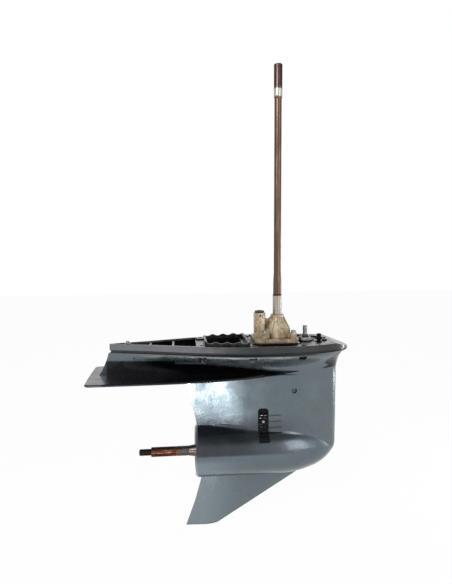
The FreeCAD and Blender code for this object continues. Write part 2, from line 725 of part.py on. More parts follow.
def side_cuts():
    """Long slot and small hole in each side of the fairing, aft."""
    row = FAIRING[2]
    floor = [(x, side_half(row, TAIL_HALF, x) - SIDE_SLOT_DEPTH) for x in (SIDE_SLOT_REAR, SIDE_SLOT_FRONT)]
    points = [Vector(x, y, SIDE_SLOT_TOP) for x, y in floor]
    points += [Vector(SIDE_SLOT_FRONT, DECK_HALF, SIDE_SLOT_TOP), Vector(SIDE_SLOT_REAR, DECK_HALF, SIDE_SLOT_TOP)]
    slot = slab(Part.makePolygon(points + points[:1]), SIDE_SLOT_HEIGHT)
    start = side_half(FAIRING[1], TAIL_HALF, SIDE_HOLE_X) - SIDE_HOLE_DEPTH
    hole = Part.makeCylinder(SIDE_HOLE_R, DECK_HALF, Vector(SIDE_HOLE_X, start, SIDE_HOLE_Z), Vector(0, 1, 0))
    return [slot, mirrored(slot), hole, mirrored(hole)]


def passage_cuts():
    """Bores and chambers on the two shafts, the shift rod's bore and the water passages."""
    cuts = [
        rod(on_z, SEAL_BORE_FLOOR, 1, SEAL_BORE_R),
        rod(on_z, NEEDLE_TOP, SEAL_BORE_FLOOR + 1, OIL_BORE_R),
        rod(on_z, PINION_POCKET_TOP - 1, NEEDLE_TOP, NEEDLE_BORE_R),
        rod(on_z, PROP_Z + 10, PINION_POCKET_TOP, PINION_POCKET_R),
        rod(on_x, TORPEDO_REAR - 1, CARRIER_SEAT_X, CARRIER_BORE_R),
        rod(on_x, CARRIER_SEAT_X - 1, CHAMBER_FRONT, CHAMBER_R),
        rod(on_x, CHAMBER_FRONT - 1, CUP_BORE_FRONT, CUP_BORE_R),
        rod(on_x, CUP_BORE_FRONT - 1, SHIFT_CHAMBER_FRONT, SHIFT_CHAMBER_R),
        rod(on_z, PROP_Z, 1, SHIFT_BORE_R, SHIFT_X),
        block(WATER_REAR, WATER_FRONT, -WATER_HALF, WATER_HALF, INLET_TOP - 10, 1),
    ]
    through = block(INLET_REAR + 2, INLET_FRONT - 2, -60, 60, PROP_Z + 56, INLET_TOP - 8)
    cuts.append(through)
    return cuts


def inlet_grooves():
    """Tapered grooves that lead water into the inlet, ahead of the screen."""
    grooves = []
    for z in (-181.0, -196.0, -211.0, -224.0):
        points = [Vector(INLET_FRONT - 1, -60, z - 3), Vector(INLET_FRONT - 1, -60, z + 3),
                  Vector(6, -60, z + 0.6), Vector(6, -60, z - 0.6)]
        wedge = Part.Face(Part.makePolygon(points + points[:1])).extrude(Vector(0, 120, 0))
        grooves.append(wedge)
    return grooves


def plug_hole(x, z, y):
    """Spot face and threaded hole for an oil plug on the side of the case; y is signed."""
    side = 1 if y > 0 else -1
    way = Vector(0, side, 0)
    face = Part.makeCylinder(PLUG_HEAD_R + 0.5, 40, Vector(x, y, z), way)
    thread = Part.makeCylinder(PLUG_THREAD_R, 14, Vector(x, y - side * 13, z), way)
    return face.fuse(thread)


def gearcase_housing():
    """The cast case: outside form less its pockets, bores and passages."""
    boss = Part.makeCone(TRIM_BOSS_R - 2, TRIM_BOSS_R, TRIM_BOSS_DROP + 3, Vector(TRIM_SCREW_X, 0, TRIM_BOSS_Z))
    case = fairing_solid().fuse([leg_solid(), rim_solid(), torpedo_solid(), plate_solid(), skeg_solid(), boss] + leg_blends())
    recess = skin_patch(INLET_REAR, INLET_FRONT, INLET_BOTTOM + 4, INLET_TOP, INLET_RECESS)
    grooves = inlet_grooves()
    layer = skin_patch(INLET_FRONT - 2, 8, INLET_BOTTOM + 4, INLET_TOP + 20, INLET_RECESS - 0.8)
    groove_cuts = layer.common(Part.makeCompound(grooves))
    cuts = deck_cuts() + side_cuts() + passage_cuts() + [recess, groove_cuts]
    cuts.append(plug_hole(LEVEL_PLUG_X, LEVEL_PLUG_Z, LEVEL_SEAT_Y))
    cuts.append(plug_hole(DRAIN_PLUG_X, DRAIN_PLUG_Z, DRAIN_SEAT_Y))
    cuts.append(rod(on_z, TRIM_BOSS_Z - 1, TRIM_BOSS_Z + TRIM_SCREW_DEPTH, TRIM_SCREW_R, TRIM_SCREW_X))
    for x in (DOWEL_FRONT_X, DOWEL_REAR_X):
        cuts.append(rod(on_z, -12, 1, DOWEL_R, x))
    cuts.append(rod(on_z, -14, 1, 5.0, HOSE_FITTING_X))
    cuts += [rod(on_z, PUMP_BOLT_FOOT, 1, PUMP_BOLT_R + 0.02, x, y) for x, y in pump_bolt_places()]
    for cut in cuts:
        case = case.cut(cut)
    return case.removeSplitter()


# Bevel gears

PITCH_R = GEAR_MODULE * GEAR_TEETH / 2
PINION_PITCH_R = GEAR_MODULE * PINION_TEETH / 2
CONE = math.hypot(PITCH_R, PINION_PITCH_R)
GEAR_CONE_ANGLE = math.atan2(PITCH_R, PINION_PITCH_R)
PINION_CONE_ANGLE = math.pi / 2 - GEAR_CONE_ANGLE
APEX = Vector(0, 0, PROP_Z)
INNER_SCALE = (CONE - GEAR_FACE) / CONE
ROOT = -DEDENDUM * GEAR_MODULE
# The blank runs a little past the teeth at both ends
TOE_SCALE = INNER_SCALE - 0.02
HEEL_SCALE = 1.012


def involute(angle):
    """Involute function of a pressure angle in radians."""
    return math.tan(angle) - angle


def tooth_profile(teeth, pitch_r, cone_angle):
    """Half profile of a tooth on its back cone: (across, height) from root to tip."""
    back_r = pitch_r / math.cos(cone_angle)
    virtual = teeth / math.cos(cone_angle)
    pressure = math.radians(PRESSURE_ANGLE)
    base = back_r * math.cos(pressure)
    half_angle = math.pi / (2 * virtual) - BACKLASH / (2 * back_r) + involute(pressure)
    low, high = back_r - DEDENDUM * GEAR_MODULE - 0.6, back_r + ADDENDUM * GEAR_MODULE
    flank = []
    for share in (0.0, 0.2, 0.45, 0.7, 1.0):
        radius = low + (high - low) * share
        turn = half_angle - (involute(math.acos(base / radius)) if radius > base else 0.0)
        flank.append((radius * math.sin(turn), radius * math.cos(turn) - back_r))
    return flank


def pointed_block(outer, inner):
    """A solid with flat sides between two outlines of the same shape."""
    faces = [Part.Face(Part.makePolygon(ring + ring[:1])) for ring in (outer, inner)]
    for i, corner in enumerate(outer):
        j = (i + 1) % len(outer)
        side = [corner, outer[j], inner[j], inner[i]]
        faces.append(Part.Face(Part.makePolygon(side + side[:1])))
    solid = Part.Solid(Part.makeShell(faces))
    return solid if solid.Volume > 0 else solid.reversed()


def bevel_teeth(teeth, pitch_r, cone_angle, axis, zero, first):
    """Straight bevel teeth as separate solids that all point at the apex."""
    flank = tooth_profile(teeth, pitch_r, cone_angle)
    side = axis.cross(zero)
    solids = []
    for i in range(teeth):
        turn = 2 * math.pi * (i + first) / teeth
        out = zero * math.cos(turn) + side * math.sin(turn)
        across = axis.cross(out)
        pitch = APEX + (axis * math.cos(cone_angle) + out * math.sin(cone_angle)) * CONE
        height = out * math.cos(cone_angle) - axis * math.sin(cone_angle)
        left = [pitch - across * w + height * h for w, h in flank]
        right = [pitch + across * w + height * h for w, h in reversed(flank)]
        outer = left + right
        inner = [APEX + (p - APEX) * INNER_SCALE for p in outer]
        solids.append(pointed_block(outer, inner))
    return solids


def cone_point(pitch_r, cone_angle, height, scale):
    """(along the gear's axis, radius) of a point a given height above the pitch cone."""
    along = CONE * math.cos(cone_angle) - height * math.sin(cone_angle)
    return along * scale, (pitch_r + height * math.cos(cone_angle)) * scale


def dogs(start, end, first):
    """Ring of square driving dogs between two stations on the propeller shaft's axis."""
    ring = tube(on_x, start, end, DOG_INNER_R, CLUTCH_R)
    low, high = min(start, end), max(start, end)
    half = math.radians(DOG_ANGLE / 2)
    reach = 2 * CLUTCH_R
    points = [Vector(low, 0, PROP_Z), Vector(low, -reach * math.sin(half), PROP_Z + reach * math.cos(half)),
              Vector(low, reach * math.sin(half), PROP_Z + reach * math.cos(half))]
    wedge = Part.Face(Part.makePolygon(points + points[:1])).extrude(Vector(high - low, 0, 0))
    return ring.common(Part.makeCompound(spun(wedge, DOGS, on_x, first)))


def big_gear(side, hub_end, hub_outer_steps):
    """Forward gear for side +1, reverse gear for side -1: teeth, web, hub and dogs."""
    root_in = cone_point(PITCH_R, GEAR_CONE_ANGLE, ROOT, TOE_SCALE)
    root_out = cone_point(PITCH_R, GEAR_CONE_ANGLE, ROOT, HEEL_SCALE)
    profile = [(DOG_FACE, NEEDLE_OUTER_R), (DOG_FACE, root_in[1] - 2), root_in, root_out,
               (root_out[0] + 3, root_out[1] - 1.5), (BEARING_START - 2, 33.0), (BEARING_START - 2, 27.0),
               (BEARING_START, 26.0)] + hub_outer_steps + [(abs(hub_end), NEEDLE_OUTER_R)]
    blank = turned([(side * along, radius) for along, radius in profile], on_x)
    teeth = bevel_teeth(GEAR_TEETH, PITCH_R, GEAR_CONE_ANGLE, Vector(side, 0, 0), Vector(0, 0, 1), 0.5)
    ring = dogs(side * DOG_TIP, side * (DOG_FACE + JOIN), 180.0 / DOGS)
    return blank.fuse(teeth + [ring])


def pinion():
    """Pinion on the foot of the drive shaft."""
    root_in = cone_point(PINION_PITCH_R, PINION_CONE_ANGLE, ROOT, TOE_SCALE)
    root_out = cone_point(PINION_PITCH_R, PINION_CONE_ANGLE, ROOT, HEEL_SCALE)
    profile = [(root_in[0] - 0.4, PINION_SEAT_R), (root_in[0] - 0.4, root_in[1] - 0.3), root_in, root_out,
               (root_out[0] + 1.5, root_out[1] + 1.5), (PINION_HUB_TOP - PROP_Z - 1.5, root_out[1] + 1.5),
               (PINION_HUB_TOP - PROP_Z, root_out[1] - 1), (PINION_HUB_TOP - PROP_Z, PINION_SEAT_R)]
    blank = turned([(PROP_Z + along, radius) for along, radius in profile], on_z)
    teeth = bevel_teeth(PINION_TEETH, PINION_PITCH_R, PINION_CONE_ANGLE, Vector(0, 0, 1), Vector(1, 0, 0), 0.0)
    return blank.fuse(teeth)


PINION_FOOT = PROP_Z + cone_point(PINION_PITCH_R, PINION_CONE_ANGLE, ROOT, TOE_SCALE)[0] - 0.4
NUT_BOTTOM = PINION_FOOT - 7.0
SHAFT_FOOT = PINION_FOOT - 8.5


def drive_shaft():
    """Long drive shaft: splined head, slim upper part, wider foot that runs in the case."""
    profile = [
        (SHAFT_TOP, 0), (SHAFT_TOP, SPLINE_R - 1.5), (SHAFT_TOP - 1.5, SPLINE_R), (SPLINE_END, SPLINE_R),
        (SPLINE_END, COLLAR_R), (COLLAR_END, COLLAR_R), (COLLAR_TAPER_END, SHAFT_R),
        (LOWER_STEP_TOP, SHAFT_R), (LOWER_STEP_END, LOWER_R), (CHROME_TOP + 2, LOWER_R),
        (CHROME_TOP, CHROME_R), (TAPER_TOP + 6, CHROME_R), (TAPER_TOP + 4, TAPER_SEAT_R),
        (TAPER_FOOT, TAPER_SEAT_R), (TAPER_FOOT, JOURNAL_R), (TAPER_FOOT - 8, JOURNAL_R),
        (TAPER_FOOT - 12, JOURNAL_R - 1.5), (NEEDLE_TOP + 8, JOURNAL_R - 1.5), (NEEDLE_TOP + 4, JOURNAL_R),
        (PINION_SHOULDER, JOURNAL_R), (PINION_SHOULDER, PINION_SEAT_R), (PINION_FOOT, PINION_SEAT_R),
        (PINION_FOOT, NUT_THREAD_R), (SHAFT_FOOT + 1, NUT_THREAD_R), (SHAFT_FOOT, NUT_THREAD_R - 1),
        (SHAFT_FOOT, 0),
    ]
    shaft = turned(profile, on_z)
    shaft = splined(shaft, on_z, SPLINE_END + 3, SHAFT_TOP + 1, SPLINE_R, SPLINE_TEETH, SPLINE_DEPTH)
    return shaft.cut(key_block(0.0))


def key_block(extra):
    """Impeller key, or the slot for it when given some extra."""
    half = KEY_WIDTH / 2 + extra
    return block(CHROME_R - KEY_SEAT, CHROME_R + KEY_RISE + extra, -half, half, KEY_LOW - extra, KEY_HIGH + extra)


# Rolling bearings


def flat_sided(flats, low_r, high_r, start, end):
    """A bar or taper with flat sides between two points; its corners lie on the given radii."""
    way = (end - start).normalize()
    first = way.cross(Vector(0, 1, 0)).normalize()
    second = way.cross(first)
    rings = []
    for centre, radius in ((start, low_r), (end, high_r)):
        angles = [2 * math.pi * i / flats for i in range(flats)]
        rings.append([centre + (first * math.cos(a) + second * math.sin(a)) * radius for a in angles])
    return pointed_block(rings[0], rings[1])


def taper_bearing(place, narrow, wide, bore_r, cup_r, roller_mid, roller_r, facing):
    """Tapered roller bearing: returns cup, cone and one roller's shape.

    narrow and wide are the stations of the rollers' thin and thick ends; facing is the sign from thin to thick.
    """
    length = abs(wide - narrow)
    inset = 0.12 * length
    tilt = math.radians(13.0)
    thin_r, thick_r = roller_r * 0.86, roller_r
    start, end = narrow + facing * inset, wide - facing * inset
    rise = math.tan(tilt) * abs(end - start) / 2
    centre_in, centre_out = roller_mid - rise, roller_mid + rise
    end_gap = thick_r * math.sin(tilt) + ROLLER_GAP

    def edge(along, offset_in, offset_out):
        share = (along - start) / (end - start)
        centre = centre_in + (centre_out - centre_in) * share
        return centre + offset_in + (offset_out - offset_in) * share

    gap = ROLLER_GAP
    outer = [(narrow, edge(narrow, thin_r + gap, thick_r + gap) + 0.35),
             (wide, edge(wide, thin_r + gap, thick_r + gap) + 0.35)]
    inner = [(narrow, edge(narrow, -thin_r - gap, -thick_r - gap) - 0.35),
             (wide, edge(wide, -thin_r - gap, -thick_r - gap) - 0.35)]
    cup = turned([outer[0], outer[1], (wide, cup_r), (narrow, cup_r)], place)
    rib = 1.6
    cone = turned([(narrow - facing * 1.0, bore_r), (narrow - facing * 1.0, inner[0][1] + rib),
                   (start - facing * 0.4, inner[0][1] + rib), (start - facing * 0.4, edge(start, -thin_r - gap, 0) - 0.35),
                   (end + facing * end_gap, edge(end, 0, -thick_r - gap) - 0.35),
                   (end + facing * end_gap, inner[1][1] + 2 * rib), (wide + facing * 1.0, inner[1][1] + 2 * rib),
                   (wide + facing * 1.0, bore_r)], place)
    roller = flat_sided(ROLLER_FLATS, thin_r, thick_r, place(start, centre_in), place(end, centre_out))
    return cup, cone, roller


# Sealing and retaining pieces on the drive shaft's axis

def lip_seal(place, start, end, shaft_r, outer_r):
    """Radial lip seal with a garter groove; it clears the shaft by a running gap."""
    low, high = min(start, end), max(start, end)
    lip = shaft_r + RUN
    profile = [(low, outer_r), (high, outer_r), (high, outer_r - 1.5), (low + 2.0, outer_r - 1.5),
               (high - 1.0, lip), (low, lip + 1.0)]
    return turned(profile, place)


def eight_sided(along, radius, half):
    """Eight-sided section of a ring, standing in for a round one of the same half thickness."""
    corner = half * math.tan(math.pi / 8)
    around = ((half, corner), (corner, half), (-corner, half), (-half, corner),
              (-half, -corner), (-corner, -half), (corner, -half), (half, -corner))
    return [(along + a, radius + b) for a, b in around]


def o_ring(place, along, groove_r):
    """Rubber ring that lies on the floor of its groove and reaches the bore."""
    return turned(eight_sided(along, groove_r + ORING_HALF, ORING_HALF), place)


def seal_carrier():
    """Carrier of the drive shaft's seals, under the pump."""
    mid = SEAL_CARRIER_FOOT / 2 - 3
    groove = 2 * ORING_HALF + 0.6
    outer = SEAL_BORE_R - RUN
    floor = outer - 2 * ORING_HALF
    profile = [(0, CHROME_R + 2.5), (-4, CHROME_R + 2.5), (-4, SHAFT_SEAL_R), (-20, SHAFT_SEAL_R),
               (-20, CHROME_R + 2.5), (SEAL_CARRIER_FOOT, CHROME_R + 2.5), (SEAL_CARRIER_FOOT, outer),
               (mid - groove / 2, outer), (mid - groove / 2, floor), (mid + groove / 2, floor),
               (mid + groove / 2, outer), (0, outer)]
    return turned(profile, on_z), o_ring(on_z, mid, floor)


def drive_line():
    """Everything that turns with the drive shaft or seals and carries it."""
    add("drive_shaft", drive_shaft())
    cup, cone, roller = taper_bearing(on_z, TAPER_TOP - 1, TAPER_FOOT + 1, TAPER_SEAT_R, SEAL_BORE_R,
                                      22.6, 4.0, -1)
    add("driveshaft_bearing_cup", cup)
    add("driveshaft_bearing_cone", cone)
    add("driveshaft_bearing_rollers", *spun(roller, ROLLERS, on_z))
    ring = tube(on_z, RING_NUT_FOOT, RING_NUT_TOP, 22.0, SEAL_BORE_R)
    slot = block(20, 27, -3, 3, RING_NUT_TOP - 4, RING_NUT_TOP + 1)
    add("bearing_ring_nut", ring.cut(Part.makeCompound(spun(slot, 4, on_z, 45))))
    carrier, ring = seal_carrier()
    add("seal_carrier", carrier)
    add("seal_carrier_oring", ring)
    add("driveshaft_seals", lip_seal(on_z, -12, -4.5, CHROME_R, SHAFT_SEAL_R),
        lip_seal(on_z, -20, -12.5, CHROME_R, SHAFT_SEAL_R))
    needle_low, needle_high = PINION_POCKET_TOP + 6, NEEDLE_TOP - 1
    circle = JOURNAL_R + RUN + NEEDLE_R
    shell_in = circle + NEEDLE_R + RUN
    shell = turned([(needle_low, shell_in), (needle_high, shell_in), (needle_high, NEEDLE_BORE_R),
                    (needle_low, NEEDLE_BORE_R)], on_z)
    add("lower_needle_shell", shell)
    needle = flat_sided(NEEDLE_FLATS, NEEDLE_R, NEEDLE_R, on_z(needle_low + 1.5, circle), on_z(needle_high - 1.5, circle))
    add("lower_needles", *spun(needle, NEEDLES, on_z))
    add("pinion_gear", pinion())
    add("pinion_shim", tube(on_z, PINION_HUB_TOP, PINION_SHOULDER, PINION_SEAT_R, 16.0))
    nut = hexagon(on_z, NUT_BOTTOM, PINION_FOOT, 22.0).cut(rod(on_z, NUT_BOTTOM - 1, PINION_FOOT + 1, NUT_THREAD_R))
    add("pinion_nut", nut)


# Propeller shaft line


def prop_shaft():
    """Propeller shaft with clutch splines, rear journal, seat cone, propeller spline and plain thread blank."""
    spline_half = CLUTCH_HALF + CLUTCH_TRAVEL + 0.5
    profile = [
        (PROP_FRONT, 0), (PROP_FRONT, PROP_R - 1), (PROP_FRONT - 1, PROP_R), (THRUST_SHOULDER, PROP_R),
        (THRUST_SHOULDER, PROP_JOURNAL_R), (TORPEDO_REAR + 1, PROP_JOURNAL_R), (PROP_TAPER_END, PROP_R + 0.3),
        (PROP_TAPER_END, PROP_R), (PROP_SPLINE_START, PROP_R), (PROP_SPLINE_START - 2, PROP_SPLINE_R),
        (PROP_THREAD_START, PROP_SPLINE_R), (PROP_THREAD_START - 1.5, PROP_THREAD_R),
        (PROP_END + 2, PROP_THREAD_R), (PROP_END, PROP_THREAD_R - 2), (PROP_END, 0),
    ]
    shaft = turned(profile, on_x)
    keys = clutch_splines(-spline_half, spline_half, 0.0)
    shaft = shaft.fuse(keys)
    shaft = splined(shaft, on_x, PROP_THREAD_START - 2, PROP_SPLINE_START - 4, PROP_SPLINE_R,
                    PROP_SPLINE_TEETH, PROP_SPLINE_DEPTH)
    bore = rod(on_x, SLIDER_REAR - CLUTCH_TRAVEL - 1, PROP_FRONT + 1, SLIDER_R + RUN)
    reach = CROSS_PIN_R + CLUTCH_TRAVEL + GAP
    slot = block(-reach, reach, -20, 20, PROP_Z - CROSS_PIN_R - RUN, PROP_Z + CROSS_PIN_R + RUN)
    return shaft.cut(bore.fuse(slot))


def clutch_splines(start, end, extra):
    """Straight keys round the propeller shaft, or the slots for them when given some extra."""
    height = PROP_R + CLUTCH_SPLINE_HEIGHT + extra
    half = 2.2 + extra
    key = block(start, end, -half, half, PROP_Z + PROP_R - 1, PROP_Z + height)
    return spun(key, CLUTCH_SPLINES, on_x, 180.0 / CLUTCH_SPLINES)


def dog_clutch():
    """Sliding clutch with dogs on both faces and a groove for the pin's retaining spring."""
    root = CLUTCH_HALF - DOG_HEIGHT
    body = tube(on_x, -root, root, PROP_R + RUN, CLUTCH_R)
    groove = tube(on_x, -CLUTCH_BAND / 2, CLUTCH_BAND / 2, CLUTCH_R - CLUTCH_GROOVE, CLUTCH_R + 1)
    body = body.cut(groove)
    slots = clutch_splines(-root - 1, root + 1, 0.08)
    pin_hole = Part.makeCylinder(CROSS_PIN_R, 3 * CLUTCH_R, Vector(0, -1.5 * CLUTCH_R, PROP_Z), Vector(0, 1, 0))
    body = body.cut(slots + [pin_hole])
    front = dogs(root - JOIN, CLUTCH_HALF, 0.0)
    rear = dogs(-CLUTCH_HALF, -root + JOIN, 0.0)
    return body.fuse([front, rear])


def clutch_group():
    """The clutch, its cross pin and spring, and the slider in the shaft's bore."""
    add("dog_clutch", dog_clutch())
    band_r = CLUTCH_R - CLUTCH_GROOVE
    pin_half = math.sqrt(band_r ** 2 - CROSS_PIN_R ** 2) - RUN
    pin = Part.makeCylinder(CROSS_PIN_R, 2 * pin_half, Vector(0, -pin_half, PROP_Z), Vector(0, 1, 0))
    add("clutch_cross_pin", pin)
    add("clutch_pin_spring", tube(on_x, -CLUTCH_BAND / 2, CLUTCH_BAND / 2, band_r, CLUTCH_R - 0.4))
    groove = CRANK_PIN_R + SPOOL_CLEAR
    spool = turned([
        (SLIDER_REAR, 0), (SLIDER_REAR, SLIDER_R), (SHIFT_X - groove - 4, SLIDER_R), (SHIFT_X - groove - 4, SPOOL_R),
        (SHIFT_X - groove, SPOOL_R), (SHIFT_X - groove, SLIDER_R), (SHIFT_X + groove, SLIDER_R),
        (SHIFT_X + groove, SPOOL_R), (SHIFT_X + groove + 4, SPOOL_R), (SHIFT_X + groove + 4, 0)], on_x)
    add("shift_slider", spool.cut(pin))


def shift_group():
    """Shift rod with its crank, whose pin stands in the slider's groove."""
    top = Vector(0, 0, 1)
    crank_top = PROP_Z + SPOOL_R + 7
    head = rod(on_z, SHIFT_TOP - 16, SHIFT_TOP, SHIFT_R)
    head = splined(head, on_z, SHIFT_TOP - 14, SHIFT_TOP + 1, SHIFT_R, 10, 1.0)
    shaft = rod(on_z, crank_top, SHIFT_TOP - 16, SHIFT_R, SHIFT_X).fuse(head.translated(Vector(SHIFT_X, 0, 0)))
    add("shift_rod", shaft)
    plate = Part.makeCylinder(8.0, 6, Vector(SHIFT_X, 0, crank_top - 6), top)
    arm = block(SHIFT_X - 4, SHIFT_X + 4, 0, CRANK_OFFSET, crank_top - 6, crank_top)
    end = Part.makeCylinder(4.0, 6, Vector(SHIFT_X, CRANK_OFFSET, crank_top - 6), top)
    pin = Part.makeCylinder(CRANK_PIN_R, 19, Vector(SHIFT_X, CRANK_OFFSET, crank_top - 24), top)
    add("shift_crank", plate.fuse([arm, end, pin]))


def forward_group():
    """Forward gear with its bearings."""
    hub_outer = [(BEARING_START, HUB_R), (FORWARD_HUB_END, HUB_R)]
    add("forward_gear", big_gear(1, FORWARD_HUB_END, hub_outer))
    cup, cone, roller = taper_bearing(on_x, BEARING_END, BEARING_START + 3, HUB_R, CUP_BORE_R, 31.0, 4.2, -1)
    add("forward_bearing_cup", cup)
    add("forward_bearing_cone", cone)
    add("forward_bearing_rollers", *spun(roller, ROLLERS, on_x))
    add("forward_shim", tube(on_x, CUP_BORE_FRONT - 1.5, CUP_BORE_FRONT, 34.0, CUP_BORE_R - 0.1))
    add("forward_hub_bearing", tube(on_x, DOG_FACE + 1, FORWARD_HUB_END - 1, PROP_R + RUN, NEEDLE_OUTER_R))


def reverse_group():
    """Reverse gear and its ball bearing."""
    hub_outer = [(BEARING_START, HUB_R), (abs(REVERSE_HUB_END), HUB_R)]
    add("reverse_gear", big_gear(-1, REVERSE_HUB_END, hub_outer))
    mid = (BALL_RACE_REAR + BALL_RACE_FRONT) / 2
    track = turned(eight_sided(mid, BALL_CIRCLE_R, BALL_R + ROLLER_GAP), on_x)
    inner = tube(on_x, BALL_RACE_REAR, BALL_RACE_FRONT, HUB_R, BALL_CIRCLE_R - 2.0).cut(track)
    outer = tube(on_x, BALL_RACE_REAR, BALL_RACE_FRONT, BALL_CIRCLE_R + 2.0, BALL_RACE_OUTER_R).cut(track)
    add("reverse_bearing_inner_race", inner)
    add("reverse_bearing_outer_race", outer)
    corners = [(BALL_R * math.cos(math.pi * i / 5), BALL_R * math.sin(math.pi * i / 5)) for i in range(6)]
    ball = turned([(mid + along, max(0.0, radius)) for along, radius in corners], on_x)
    ball.translate(Vector(0, 0, BALL_CIRCLE_R))
    add("reverse_bearing_balls", *spun(ball, BALLS, on_x))
    add("reverse_thrust_washer", tube(on_x, THRUST_SHOULDER, REVERSE_HUB_END - 0.5, PROP_R + RUN, 19.0))


def bearing_carrier():
    """Carrier that closes the torpedo: front barrel, slim hub, webs and rear ring that let the exhaust by."""
    outer = CHAMBER_R - RUN
    groove = CARRIER_FLANGE_REAR + 8.0
    floor = outer - 2 * ORING_HALF
    profile = [
        (CARRIER_FRONT, BALL_RACE_OUTER_R), (BALL_RACE_REAR, BALL_RACE_OUTER_R), (BALL_RACE_REAR, 35.0),
        (-56, 35.0), (-60, 24.0), (-90, 18.0), (PROP_NEEDLE_FRONT, 18.0), (PROP_NEEDLE_FRONT, 20.0),
        (CARRIER_END + 16, 20.0), (CARRIER_END + 16, 22.0), (CARRIER_END, 22.0), (CARRIER_END, CARRIER_HUB_R),
        (CARRIER_FLANGE_REAR - 14, CARRIER_HUB_R), (CARRIER_FLANGE_REAR, outer - 3), (CARRIER_FLANGE_REAR, outer),
        (groove - 2, outer), (groove - 2, floor), (groove + 2, floor), (groove + 2, outer),
        (CARRIER_FRONT, outer),
    ]
    body = turned(profile, on_x)
    ring = tube(on_x, CARRIER_END, CARRIER_SEAT_X, CARRIER_RING_R, CARRIER_BORE_R - 0.05)
    web = block(CARRIER_END, CARRIER_SEAT_X, -3.5, 3.5, PROP_Z + CARRIER_HUB_R - 2, PROP_Z + CARRIER_RING_R + 2)
    return body.fuse([ring] + spun(web, CARRIER_WEBS, on_x, 36)), o_ring(on_x, groove, floor)


def carrier_group():
    """The carrier and what sits in it."""
    carrier, ring = bearing_carrier()
    add("bearing_carrier", carrier)
    add("carrier_oring", ring)
    circle = PROP_JOURNAL_R + RUN + PROP_NEEDLE_R
    shell_in = circle + PROP_NEEDLE_R + RUN
    add("prop_needle_shell", tube(on_x, PROP_NEEDLE_REAR, PROP_NEEDLE_FRONT, shell_in, 20.0))
    ends = [on_x(along, circle) for along in (PROP_NEEDLE_REAR + 1.5, PROP_NEEDLE_FRONT - 1.5)]
    needle = flat_sided(NEEDLE_FLATS, PROP_NEEDLE_R, PROP_NEEDLE_R, ends[0], ends[1])
    add("prop_needles", *spun(needle, NEEDLES, on_x))
    add("prop_shaft_seals", lip_seal(on_x, CARRIER_END + 8.5, CARRIER_END + 15.5, PROP_JOURNAL_R, 22.0),
        lip_seal(on_x, CARRIER_END + 1, CARRIER_END + 8, PROP_JOURNAL_R, 22.0))
    nut = tube(on_x, TORPEDO_REAR, CARRIER_END - 1, CARRIER_RING_R, CARRIER_BORE_R - 0.05)
    lug = block(TORPEDO_REAR - 1, TORPEDO_REAR + 3, -4, 4, PROP_Z + CARRIER_RING_R - 1, PROP_Z + CARRIER_RING_R + 4)
    add("carrier_ring_nut", nut.cut(Part.makeCompound(spun(lug, 6, on_x))))
    washer = tube(on_x, CARRIER_END - 1, CARRIER_END, CARRIER_RING_R + 0.5, CARRIER_BORE_R - 0.1)
    add("carrier_tab_washer", washer)


# Water pump

def pump_bolt_places():
    """Centres of the pump's four bolts."""
    return [(x, side * PUMP_BOLT_Y) for x in (PUMP_BOLT_REAR_X, PUMP_BOLT_FRONT_X) for side in (1, -1)]


def pump_plan(z, height, inset):
    """Outline of the pump's foot: gasket, wear plate and flange share it; water comes up behind the shaft."""
    plate = rounded_plan(PUMP_REAR + inset, PUMP_FRONT - inset, PUMP_HALF - inset, 10, z, height)
    for x, y in pump_bolt_places():
        plate = plate.cut(rod(on_z, z - 1, z + height + 1, PUMP_BOLT_R + 0.3, x, y))
    return plate


